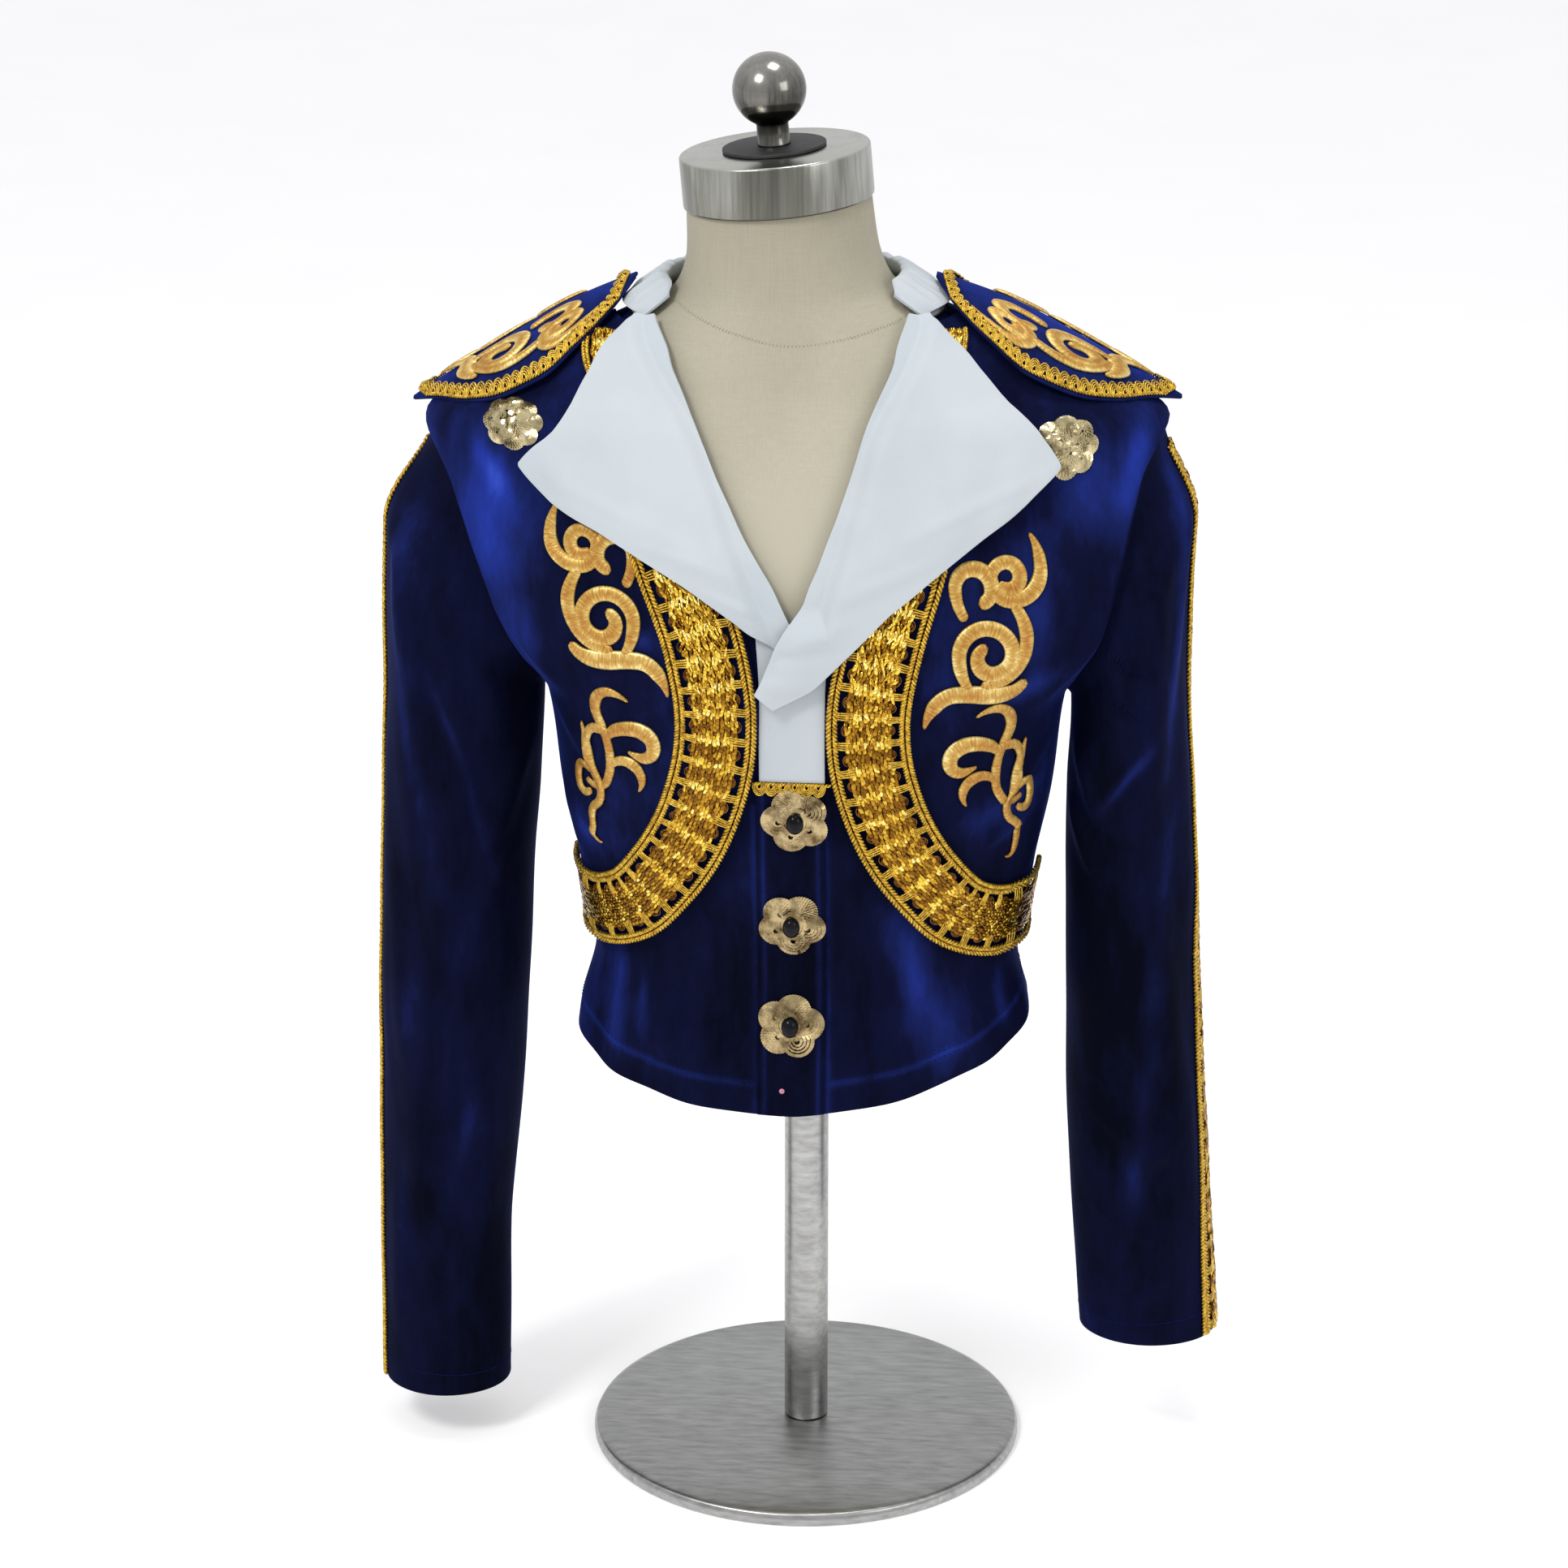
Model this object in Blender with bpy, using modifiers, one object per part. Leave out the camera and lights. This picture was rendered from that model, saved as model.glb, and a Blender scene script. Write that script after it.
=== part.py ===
"""A ballet tunic in velvet with gold trimming, filled out on a limbless dress form.

Each piece that a maker cuts and sews is one solid. Sizes are in millimetres and become metres when a
mesh is made. The front faces -Y, +X is the wearer's left, and z = 0 is under the stand's foot.

Cloth is laid out in two measures: across, the distance round the body from the centre front line
(plus towards +X), and up, the height, which runs on along the shoulder slope above the shoulder point.
"""
import math

import bmesh
import bpy
import numpy as np

MM = 0.001
GAP = 0.35

# Heights of the tunic, along the cloth
HEM_FRONT = 263.0
HEM_SIDES = {1: 311.0, -1: 297.0}
WAIST = 343.0
UNDERARM = 515.0
SHOULDER_POINT = 684.0

# The cloth's wall, and how far each layer lies out from the tunic's own surface
CLOTH = 1.2
PLACKET_OUT = 1.9
BOLERO_OUT = 3.2
TRIM_OUT = BOLERO_OUT + CLOTH + 1.2
SCROLL_OUT = BOLERO_OUT + CLOTH + 0.6
LAPEL_OUT = 9.3
LAPEL_LOW = 3.8
LAPEL_THICK = 2.2
COLLAR_THICK = 1.6
FORM_CLEARANCE = 1.5

GALLOON_WIDTH = 50.0
BRAID_THICK = 1.5
GIMP_THICK = 1.6
LADDER_PITCH = 21.5
RUNG_WIDTH = 4.2
BOLERO_SETBACK = 5.0

# Rings of the filled tunic: height along the cloth, true height, half width, depth to the front and
# to the back, middle in y, roundness of the outline, and half width of the form inside it
TORSO = (
    (255, 255, 146, 99, 99, 0, 2.2, 134),
    (300, 300, 140, 96, 93, 0, 2.2, 131),
    (343, 343, 131, 91, 85, 0, 2.2, 127),
    (400, 400, 137, 97, 88, 0, 2.25, 133),
    (450, 450, 147, 104, 95, 0, 2.3, 144),
    (515, 515, 155, 110, 102, 0, 2.4, 151),
    (560, 560, 194, 108, 105, 0, 2.4, 157),
    (600, 600, 216, 103, 105, 0, 2.3, 169),
    (640, 640, 222, 92, 99, 0, 2.3, 187),
    (684, 684, 220, 80, 89, 0, 2.2, 192),
    (724, 706, 182, 75, 80, 0, 2.1, 169),
    (772, 729, 138, 70, 73, -2, 2.0, 133.5),
    (818, 750, 92, 65, 66, -4, 2.0, 89.2),
    (850, 768, 66, 60, 60, -6, 2.0, 64.4),
    (876, 790, 57, 57, 56, -8, 2.0, 57),
    (902, 816, 55, 55, 55, -9, 2.0, 55),
)
LEAN_FROM = 560.0
LEAN = 0.075
SHOULDER_TILT = 0.022
TILT_OVER = 110.0

# Armhole: height, and how far it is cut back from the side line in front and behind
ARMHOLE = (
    (515, 0, 0),
    (522, 14, 12),
    (535, 38, 33),
    (555, 57, 52),
    (590, 63, 60),
    (620, 57, 57),
    (650, 44, 46),
    (670, 23, 26),
    (684, 0, 0),
)

# Neckline of the fronts, under the lapels: height and distance from the centre
NECKLINE = ((556, 0.3), (580, 12), (600, 21), (640, 43), (690, 60), (740, 74), (780, 84), (815, 96))

# Front edge of the bolero, from its shoulder down to the side seam: across, up
BOLERO_EDGE = (
    (100, 808), (90, 776), (76, 730), (62, 680), (45, 628), (27, 572), (20, 530), (21, 500),
    (28, 468), (41, 434), (60, 403), (86, 374), (113, 360), (148, 354), (179, 356),
)

# Lapels by hand, from the neck to the tail: roll edge and outer edge, across and up
LAPEL = {
    1: (
        (86, 815, 100, 812),
        (70, 785, 103, 786),
        (61, 752, 115, 752),
        (51, 712, 131, 714),
        (42, 675, 148, 689),
        (31, 648, 160, 666),
        (23, 630, 139, 649),
        (17, 616, 112, 630),
        (11, 604, 84, 610),
        (5, 588, 57, 590),
        (-1, 571, 34, 568),
        (-7, 555, 13, 550),
        (-12, 542, -11, 538),
    ),
    -1: (
        (86, 815, 100, 812),
        (68, 785, 105, 786),
        (60, 752, 113, 752),
        (53, 712, 127, 714),
        (45, 675, 141, 690),
        (33, 648, 160, 667),
        (25, 630, 139, 649),
        (17, 616, 112, 634),
        (10, 604, 84, 617),
        (3, 588, 57, 602),
        (-4, 574, 34, 587),
        (-9, 561, 13, 571),
        (-14, 549, -10, 554),
    ),
}

# Sleeves: height, inner side and outer side from the middle plane, middle in y, half depth
SLEEVE_LEFT = (
    (80, 177, 264, 10, 38),
    (150, 171, 258, 9, 41),
    (240, 165, 251, 7, 46),
    (330, 163, 245, 5, 51),
    (410, 161, 240, 3, 56),
    (455, 161, 237, 2, 58),
    (500, 163, 234, 0, 59),
    (560, 160, 233, -1, 60),
    (620, 159, 234, -1, 58),
    (660, 162, 236, 0, 48),
    (690, 170, 236, 0, 30),
)
SLEEVE_RIGHT = (
    (33, 193, 274, -8, 38),
    (140, 191, 273, -6, 41),
    (228, 182, 271, -4, 46),
    (316, 176, 268, -3, 51),
    (400, 171, 264, -2, 56),
    (444, 167, 262, -2, 58),
    (500, 164, 261, -1, 60),
    (560, 163, 260, 0, 62),
    (620, 160, 258, 0, 60),
    (660, 163, 256, 0, 50),
    (690, 172, 248, 0, 30),
)
SLEEVE_HEAD_DROP = 0.09
SEAM_INSET = 0.6
SEAM_REACH = 0.012

# Large folds of the body: across and up at the foot, across and up at the top, half width, height
BODY_FOLDS = (
    (60, 262, 78, 372, 24, 5.5),
    (122, 280, 114, 343, 19, 4.5),
    (160, 292, 157, 343, 18, 3.5),
    (-64, 264, -80, 366, 22, 4.5),
    (-116, 278, -109, 343, 19, 5.0),
    (-160, 292, -157, 343, 18, 3.0),
    (238, 296, 242, 400, 22, 4.0),
    (296, 292, 306, 420, 24, 4.5),
    (-238, 296, -242, 410, 22, 4.0),
    (-300, 292, -308, 400, 24, 4.5),
)

# Large folds of a sleeve: turn round the sleeve and height at each end, half width, height
SLEEVE_LEFT_FOLDS = (
    (-60, 640, -72, 420, 13, 5.0),
    (-72, 430, -48, 150, 12, 5.0),
    (-150, 500, -100, 430, 10, 5.0),
    (-155, 455, -105, 395, 9, 4.0),
    (-110, 330, -66, 270, 10, 4.0),
    (-120, 250, -60, 205, 10, 4.0),
    (-30, 560, -24, 330, 12, 3.0),
    (70, 620, 84, 300, 14, 4.0),
    (140, 480, 100, 400, 11, 4.0),
)
SLEEVE_RIGHT_FOLDS = (
    (-52, 640, -60, 380, 14, 5.0),
    (-98, 560, -84, 300, 12, 4.0),
    (-150, 490, -112, 400, 10, 4.5),
    (-62, 360, -80, 120, 13, 3.5),
    (-120, 300, -130, 120, 12, 3.5),
    (-24, 520, -30, 240, 12, 3.0),
    (66, 620, 80, 300, 14, 4.0),
    (130, 480, 96, 380, 11, 4.0),
)

# Shoulder wing: distance of each rib from the middle, its height, half depth and drop at its edges
WING = (
    (90, 769, 4, 1.5),
    (101, 764.5, 22, 9.5),
    (121, 756, 40, 19.5),
    (145, 744, 51, 27),
    (169, 730, 47, 25),
    (193, 716, 34, 18),
    (215, 703, 15, 8),
    (232, 692, 2, 1),
)
# How far the outer part of each wing is raised, and the distance over which it rises
WING_RAISE = {1: 1.8, -1: 0.6}
WING_RAISE_OVER = 60.0
WING_THICK = 1.6
WING_ARCH = 1.8
TRIM_LIFT = 0.9
TIP_LIFT = 1.3
WING_BRAID_WIDTH = 8.0
WING_BRAID_ENDS = (3.0, 12.0)
WING_SCROLL_START = 15.0
WING_SCROLL_SPREAD = 0.73
WING_SCROLL_BACK = 11.0

FLOWER_PETALS = 5
PLACKET_FLOWERS = ((2, 458), (-1, 390), (-2, 321))
LAPEL_FLOWERS = ((165, 676), (-162, 689))
BEAD_RADIUS = 5.5
PLACKET_FLOWER_RADIUS = 21.0
LAPEL_FLOWER_RADIUS = 19.0
FLOWER_THICK = 1.8
FLOWER_DOME = 1.2
FLOWER_LIFT = 0.8
FLOWER_OVER_GIMP = 2.2

CAP_RADIUS = 57.0
CAP_THICK = 31.0
WASHER_RADIUS = 31.0
WASHER_THICK = 2.0
KNOB_RADIUS = 22.0
KNOB_NECK = (10.0, 13.0)
CAP_SOFT = 2.5
NECK_TOP = 816.0
NECK_TILT = math.radians(5.0)
FORM_BOTTOM = 315.0
POLE_RADIUS = 14.0
FOOT_RADIUS = 138.0
FOOT_THICK = 9.0

LOOKS = {
    # name: colour, roughness, metallic
    "velvet": ((0.011, 0.019, 0.085, 1), 0.75, 0.0),
    "satin_white": ((0.72, 0.78, 0.82, 1), 0.55, 0.0),
    "gold_braid": ((0.62, 0.36, 0.04, 1), 0.35, 0.7),
    "gold_stitch": ((0.55, 0.40, 0.13, 1), 0.5, 0.2),
    "sequin_gold": ((0.60, 0.50, 0.26, 1), 0.25, 0.8),
    "black_bead": ((0.008, 0.008, 0.010, 1), 0.12, 0.0),
    "linen": ((0.58, 0.54, 0.43, 1), 0.9, 0.0),
    "steel": ((0.55, 0.55, 0.52, 1), 0.35, 1.0),
    "chrome": ((0.62, 0.62, 0.60, 1), 0.08, 1.0),
    "black_disc": ((0.012, 0.012, 0.012, 1), 0.6, 0.0),
}


def smooth(table):
    """Return a function that reads a smooth, never overshooting curve through a table's rows."""
    rows = np.array(sorted(table), float)
    at, values = rows[:, 0], rows[:, 1:]
    step = np.diff(at)[:, None]
    rise = np.diff(values, axis=0) / step
    slope = np.zeros_like(values)
    slope[0], slope[-1] = rise[0], rise[-1]
    same_way = rise[:-1] * rise[1:] > 0
    with np.errstate(divide="ignore", invalid="ignore"):
        mean = (step[:-1] + step[1:]) * 3
        harmonic = mean / ((2 * step[1:] + step[:-1]) / rise[:-1] + (step[1:] + 2 * step[:-1]) / rise[1:])
    slope[1:-1] = np.where(same_way, harmonic, 0)

    def read(x):
        x = np.clip(np.asarray(x, float), at[0], at[-1])
        i = np.clip(np.searchsorted(at, x, side="right") - 1, 0, len(at) - 2)
        h = step[i]
        t = ((x - at[i]) / h[..., 0])[..., None]
        value = ((1 + 2 * t) * (1 - t) ** 2 * values[i] + t * (1 - t) ** 2 * h * slope[i]
                 + t * t * (3 - 2 * t) * values[i + 1] + t * t * (t - 1) * h * slope[i + 1])
        return np.moveaxis(value, -1, 0)
    return read


torso_at = smooth(TORSO)
armhole_at = smooth(ARMHOLE)
neckline_at = smooth(NECKLINE)
sleeve_at = {1: smooth(SLEEVE_LEFT), -1: smooth(SLEEVE_RIGHT)}
sleeve_folds = {1: SLEEVE_LEFT_FOLDS, -1: SLEEVE_RIGHT_FOLDS}
wing_at = smooth(WING)
CUFF = {1: SLEEVE_LEFT[0][0], -1: SLEEVE_RIGHT[0][0]}


def ease(t):
    t = np.clip(t, 0.0, 1.0)
    return t * t * (3 - 2 * t)


def lean(z):
    """Sideways lean of the upper body, which a form on a single pole has."""
    rise = np.clip(np.asarray(z, float) - LEAN_FROM, 0, None)
    return -LEAN * rise * rise / (rise + 40.0)


def tilt(x, z):
    """How much higher the shoulder at +X sits than the middle."""
    return SHOULDER_TILT * x * ease((z - LEAN_FROM) / TILT_OVER)


def leaned(x, y, z):
    """An upright body's point with the lean and the tilt of the shoulders."""
    return np.array([x + lean(z), y, z + tilt(x, z)])


def ring(turn, up, inside=0.0):
    """A point on the half at +X, before lean and tilt: turn -90 degrees is the front, 90 the back."""
    z, half_width, front, back, middle, roundness, form_half_width = torso_at(up)
    power = 2.0 / roundness
    c, s = np.cos(turn), np.sin(turn)
    if inside:
        half_width, front, back = form_half_width, front - inside, back - inside
    x = half_width * np.abs(c) ** power * np.sign(c)
    y = middle + np.where(s < 0, front, back) * np.sign(s) * np.abs(s) ** power
    return np.stack([x, y, z + 0 * x], axis=-1)


GIRTH_TURNS = np.radians(np.linspace(-90, 90, 721))
GIRTH_UPS = np.linspace(TORSO[0][0], TORSO[-1][0], 325)
GIRTHS = np.array([
    np.concatenate([[0], np.cumsum(np.linalg.norm(np.diff(ring(GIRTH_TURNS, up), axis=0), axis=1))])
    for up in GIRTH_UPS
])


def side(up):
    """Distance from the centre front to the side line, round the cloth."""
    return np.interp(up, GIRTH_UPS, GIRTHS[:, len(GIRTH_TURNS) // 2])


def half_round(up):
    """Distance from the centre front to the centre back, round the cloth."""
    return np.interp(up, GIRTH_UPS, GIRTHS[:, -1])


def turn_at(across, up):
    """Turn round the body at a distance from the centre front."""
    place = (up - GIRTH_UPS[0]) / (GIRTH_UPS[1] - GIRTH_UPS[0])
    i = int(min(max(place, 0), len(GIRTH_UPS) - 1.001))
    t = place - i
    return np.interp(across, GIRTHS[i] * (1 - t) + GIRTHS[i + 1] * t, GIRTH_TURNS)


def body_fold(across, up):
    """How far the large folds push the cloth out."""
    out = 0.0
    for x0, y0, x1, y1, width, height in BODY_FOLDS:
        t = (up - y0) / (y1 - y0)
        if t > 1.0:
            continue
        middle = x0 + (x1 - x0) * t
        out += height * ease((1.0 - t) * 1.6) * math.exp(-((across - middle) / width) ** 2)
    return out


def cloth(across, up, out=0.0):
    """A point on the tunic's body, out from its surface."""
    sign = 1.0 if across >= 0 else -1.0
    turn = turn_at(abs(across), up)
    here = ring(turn, up)
    round_way = ring(turn + 0.02, up) - ring(turn - 0.02, up)
    up_way = ring(turn, up + 1.5) - ring(turn, up - 1.5)
    normal = np.cross(round_way, up_way)
    normal /= np.linalg.norm(normal)
    point = here + normal * (out + body_fold(across, up))
    return leaned(sign * point[0], point[1], point[2])


def sleeve_ring(hand, turn, z, out=0.0):
    """A point on a sleeve's outer face: turn 0 is the outer side, -90 degrees the front."""
    inner, outer, middle_y, half_depth = sleeve_at[hand](z)
    half_width = (outer - inner) / 2
    for a0, z0, a1, z1, width, height in sleeve_folds[hand]:
        t = (z - z0) / (z1 - z0)
        if 0 < t < 1:
            away = math.remainder(math.degrees(turn) - (a0 + (a1 - a0) * t), 360)
            out += height * ease(t * 3) * ease((1 - t) * 3) * math.exp(-(away / width / 1.4) ** 2)
    normal = np.array([math.cos(turn) / half_width, math.sin(turn) / half_depth])
    normal /= np.linalg.norm(normal)
    x = (inner + outer) / 2 + half_width * math.cos(turn) + out * normal[0]
    y = middle_y + half_depth * math.sin(turn) + out * normal[1]
    return np.array([hand * x, y, z])


def wing(hand, along, across, out=0.0):
    """A point on a shoulder wing: along is the distance from the middle, across from -1, the front."""
    def place(a, c):
        height, half_depth, drop = wing_at(a)
        height = height + WING_RAISE[hand] * ease((a - WING[0][0]) / WING_RAISE_OVER)
        return np.array([a, half_depth * c, height - drop * abs(c) ** WING_ARCH])
    normal = np.cross(place(along + 0.5, across) - place(along - 0.5, across),
                      place(along, across + 0.02) - place(along, across - 0.02))
    point = place(along, across) + normal / np.linalg.norm(normal) * out
    return leaned(hand * point[0], point[1], point[2])


def material(look):
    found = bpy.data.materials.get(look)
    if found:
        return found
    colour, roughness, metallic = LOOKS[look]
    made = bpy.data.materials.new(look)
    made.use_nodes = True
    shader = made.node_tree.nodes["Principled BSDF"]
    shader.inputs["Base Color"].default_value = colour
    shader.inputs["Roughness"].default_value = roughness
    shader.inputs["Metallic"].default_value = metallic
    return made


def add_object(name, mesh, look, collection="ballet tunic on a form"):
    """Put a mesh in the scene as a named piece with its own material."""
    group = bpy.data.collections.get(collection)
    if group is None:
        group = bpy.data.collections.new(collection)
        bpy.context.scene.collection.children.link(group)
    piece = bpy.data.objects.new(name, mesh)
    group.objects.link(piece)
    own = material(look).copy()
    own.name = f"{name}_{look}"
    mesh.materials.clear()
    mesh.materials.append(own)
    mesh.shade_smooth()
    mesh.set_sharp_from_angle(angle=math.radians(40))
    return piece


def grid(columns, rows, place, wrap=False):
    """A grid of faces whose corners lie where place(s, t) says, s and t from 0 to 1."""
    bm = bmesh.new()
    bmesh.ops.create_grid(bm, x_segments=columns, y_segments=rows, size=0.5)
    for vert in bm.verts:
        vert.co = place(vert.co.x + 0.5, vert.co.y + 0.5)
    if wrap:
        bmesh.ops.remove_doubles(bm, verts=bm.verts, dist=1e-4)
    return bm


def face_out(bm, place, s=0.5, t=0.5):
    """Turn every face the way that place(s, t, out) grows."""
    here = np.array(place(s, t))
    there = np.array(place(s, t, 1.0))
    centre = min(bm.faces, key=lambda face: np.linalg.norm(np.array(face.calc_center_median()) - here))
    centre.normal_update()
    if float(np.dot(centre.normal, there - here)) < 0:
        bmesh.ops.reverse_faces(bm, faces=bm.faces)


def finish_mesh(bm, name):
    bmesh.ops.scale(bm, vec=(MM, MM, MM), verts=bm.verts)
    mesh = bpy.data.meshes.new(name)
    bm.to_mesh(mesh)
    bm.free()
    return mesh


def cloth_wall(name, look, columns, rows, place, thick=CLOTH, outward=True, wrap=False):
    """A wall of cloth over place(s, t, out), with its thickness from a Solidify modifier."""
    bm = grid(columns, rows, place, wrap)
    face_out(bm, place)
    piece = add_object(name, finish_mesh(bm, name), look)
    solidify = piece.modifiers.new("wall", "SOLIDIFY")
    solidify.thickness = thick * MM
    solidify.offset = 1.0 if outward else -1.0
    return piece


PANEL_UPS = (0, 1, 2, 343, 385, 430, 475, 515, 522, 535, 555, 590, 620, 650, 670, 684, 715, 755, 790, 815)
HEM_ROWS = 3
HEM_CURVES = {1: 1.35, -1: 1.9}
FRONT_COLUMNS = 9
BACK_COLUMNS = 14


def hem_height(hand, part):
    """Height of the hem, part of the way from the centre front to a side seam."""
    return HEM_FRONT + (HEM_SIDES[hand] - HEM_FRONT) * part ** HEM_CURVES[hand]


def back_hem_height(part):
    """Height of the hem behind, which runs straight from -1, one side seam, to 1, the other."""
    return (HEM_SIDES[1] + HEM_SIDES[-1]) / 2 + (HEM_SIDES[1] - HEM_SIDES[-1]) / 2 * part


def panel_height(t, hem):
    """Height of a body panel's point: the lowest rows follow the hem, the others are level."""
    at = t * (len(PANEL_UPS) - 1)
    i = min(int(round(at)), len(PANEL_UPS) - 1)
    if i > HEM_ROWS - 1:
        return PANEL_UPS[i]
    return hem + (WAIST - hem) * i / HEM_ROWS


def armhole_edge(up, behind=False):
    """Distance of the armhole or seam from the centre front; behind, the back panel's."""
    line = side(up)
    if UNDERARM < up < SHOULDER_POINT:
        front_cut, back_cut = armhole_at(up)
        return line + back_cut if behind else line - front_cut
    return line


def make_front(name, hand):
    def place(s, t, out=0.0):
        up = panel_height(t, hem_height(hand, s))
        inner = float(neckline_at(up)[0])
        outer = float(armhole_edge(up)) - GAP / 2
        return cloth(hand * (inner + (outer - inner) * s), up, out)
    return cloth_wall(name, "velvet", FRONT_COLUMNS, len(PANEL_UPS) - 1, place)


def make_back():
    def place(s, t, out=0.0):
        part = 2 * s - 1
        up = panel_height(t, back_hem_height(part))
        half = half_round(up)
        edge = armhole_edge(up, behind=True) + GAP / 2
        across = half - abs(part) * (half - edge)
        return cloth(math.copysign(across, part if part else 1.0), up, out)
    return cloth_wall("back", "velvet", BACK_COLUMNS, len(PANEL_UPS) - 1, place)


ARMHOLE_UPS = (684, 670, 650, 620, 590, 555, 535, 522, 515)
SLEEVE_COLUMNS = 16
SLEEVE_DROPS = (0, 0.012, 0.03, 0.06, 0.10, 0.15, 0.22, 0.30, 0.39, 0.48, 0.57, 0.66, 0.75, 0.84, 0.92, 1)


def armhole_point(hand, column):
    """Corner of the armhole that a sleeve column starts from, counted from the shoulder point."""
    half = SLEEVE_COLUMNS // 2
    behind = column > half
    up = ARMHOLE_UPS[SLEEVE_COLUMNS - column if behind else column]
    return cloth(hand * armhole_edge(up, behind), up, CLOTH)


def sleeve_head(hand, turn):
    """Where a sleeve leaves the armhole, just inside its edge, at a turn round the sleeve."""
    loop = [armhole_point(hand, column) for column in range(SLEEVE_COLUMNS)]
    middle = sum(loop) / len(loop)
    column = -turn / (2 * math.pi) * SLEEVE_COLUMNS
    first = math.floor(column)
    start = loop[first % SLEEVE_COLUMNS]
    start = start + (loop[(first + 1) % SLEEVE_COLUMNS] - start) * (column - first)
    return start + (middle - start) / np.linalg.norm(middle - start) * SEAM_INSET


def sleeve_point(hand, turn, start, drop, out=0.0):
    """A point on a sleeve, part of the way from its head's seam down to its cuff."""
    z = start[2] + (CUFF[hand] - start[2]) * drop
    target = sleeve_ring(hand, turn, z, out)
    reach = SEAM_REACH + SLEEVE_HEAD_DROP * math.cos(turn / 2) ** 2
    blend = float(ease(drop / reach))
    return np.array([start[0] + (target[0] - start[0]) * blend,
                     start[1] + (target[1] - start[1]) * blend, z])


def make_sleeve(name, hand):
    turns = [-2 * math.pi * column / SLEEVE_COLUMNS for column in range(SLEEVE_COLUMNS)]
    heads = [sleeve_head(hand, turn) for turn in turns]

    def place(s, t, out=0.0):
        column = int(round(s * SLEEVE_COLUMNS)) % SLEEVE_COLUMNS
        drop = SLEEVE_DROPS[int(round(t * (len(SLEEVE_DROPS) - 1)))]
        return sleeve_point(hand, turns[column], heads[column], drop, out)
    rows = len(SLEEVE_DROPS) - 1
    return cloth_wall(name, "velvet", SLEEVE_COLUMNS, rows, place, outward=False, wrap=True)


def along_path(points):
    """A smooth path: a function from distance to point and way, its points and their distances."""
    points = np.array(points, float)
    knots = np.concatenate([[0], np.cumsum(np.linalg.norm(np.diff(points, axis=0), axis=1))])
    slopes = np.gradient(points, knots, axis=0)

    def at_knot(x):
        i = min(max(int(np.searchsorted(knots, x, side="right")) - 1, 0), len(knots) - 2)
        h = knots[i + 1] - knots[i]
        t = (x - knots[i]) / h
        return ((1 + 2 * t) * (1 - t) ** 2 * points[i] + t * (1 - t) ** 2 * h * slopes[i]
                + t * t * (3 - 2 * t) * points[i + 1] + t * t * (t - 1) * h * slopes[i + 1])
    xs = np.linspace(0, knots[-1], 400)
    line = np.array([at_knot(x) for x in xs])
    lengths = np.concatenate([[0], np.cumsum(np.linalg.norm(np.diff(line, axis=0), axis=1))])

    def at(distance):
        here = np.array([np.interp(distance, lengths, line[:, k]) for k in (0, 1)])
        ahead = np.array([np.interp(distance + 2, lengths, line[:, k]) for k in (0, 1)])
        behind = np.array([np.interp(distance - 2, lengths, line[:, k]) for k in (0, 1)])
        way = (ahead - behind) / np.linalg.norm(ahead - behind)
        return here, way
    return at, line, lengths


edge_at, edge_line, edge_lengths = along_path(BOLERO_EDGE)
edge_length = edge_lengths[-1]
falling = edge_line[:np.argmin(edge_line[:, 1])]


def edge_across(up):
    """Distance of the bolero's front edge from the centre, above its curved foot."""
    return float(np.interp(-up, -falling[:, 1], falling[:, 0]))


def edge_distance(up):
    """Distance along the bolero's edge at which it comes down to a height."""
    return float(np.interp(-up, -falling[:, 1], edge_lengths[:len(falling)]))


LEVEL_UP = 500.0
CURVE_START = edge_distance(440)
LEVEL_START = edge_distance(LEVEL_UP)
BOLERO_UPS = (515, 522, 535, 555, 590, 620, 650, 670, 684, 715, 755, 790, 808)
BOLERO_LOW_ROWS = 4
BOLERO_SHOULDER_LIFT = 1.0


def bolero_edge_out(up):
    line = float(armhole_edge(up))
    return line - (BOLERO_SETBACK if up > LEVEL_UP else 1.0)


def make_bolero(name, hand):
    """Short open front laid on the tunic's front, from the shoulder to its curved lower edge."""
    rows = BOLERO_LOW_ROWS + len(BOLERO_UPS)

    def place(s, t, out=0.0):
        k = int(round(t * rows))
        if k <= BOLERO_LOW_ROWS:
            part = k / BOLERO_LOW_ROWS
            foot, _ = edge_at(CURVE_START + (edge_length - CURVE_START) * s)
            level = np.array([edge_across(LEVEL_UP), LEVEL_UP])
            level = level + (np.array([bolero_edge_out(LEVEL_UP), LEVEL_UP]) - level) * s
            front, _ = edge_at(CURVE_START + (LEVEL_START - CURVE_START) * part)
            corner, _ = edge_at(CURVE_START)
            straight = corner + (np.array([edge_across(LEVEL_UP), LEVEL_UP]) - corner) * part
            across, up = foot + (level - foot) * part + (front - straight) * (1 - s)
        else:
            up = BOLERO_UPS[k - BOLERO_LOW_ROWS - 1]
            inner = edge_across(up)
            across = inner + (bolero_edge_out(up) - inner) * s
        lift = BOLERO_SHOULDER_LIFT * s ** 3 * float(ease((up - 620) / 30))
        return cloth(hand * across, up, BOLERO_OUT + lift + out)
    return cloth_wall(name, "velvet", 8, rows, place)


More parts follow.
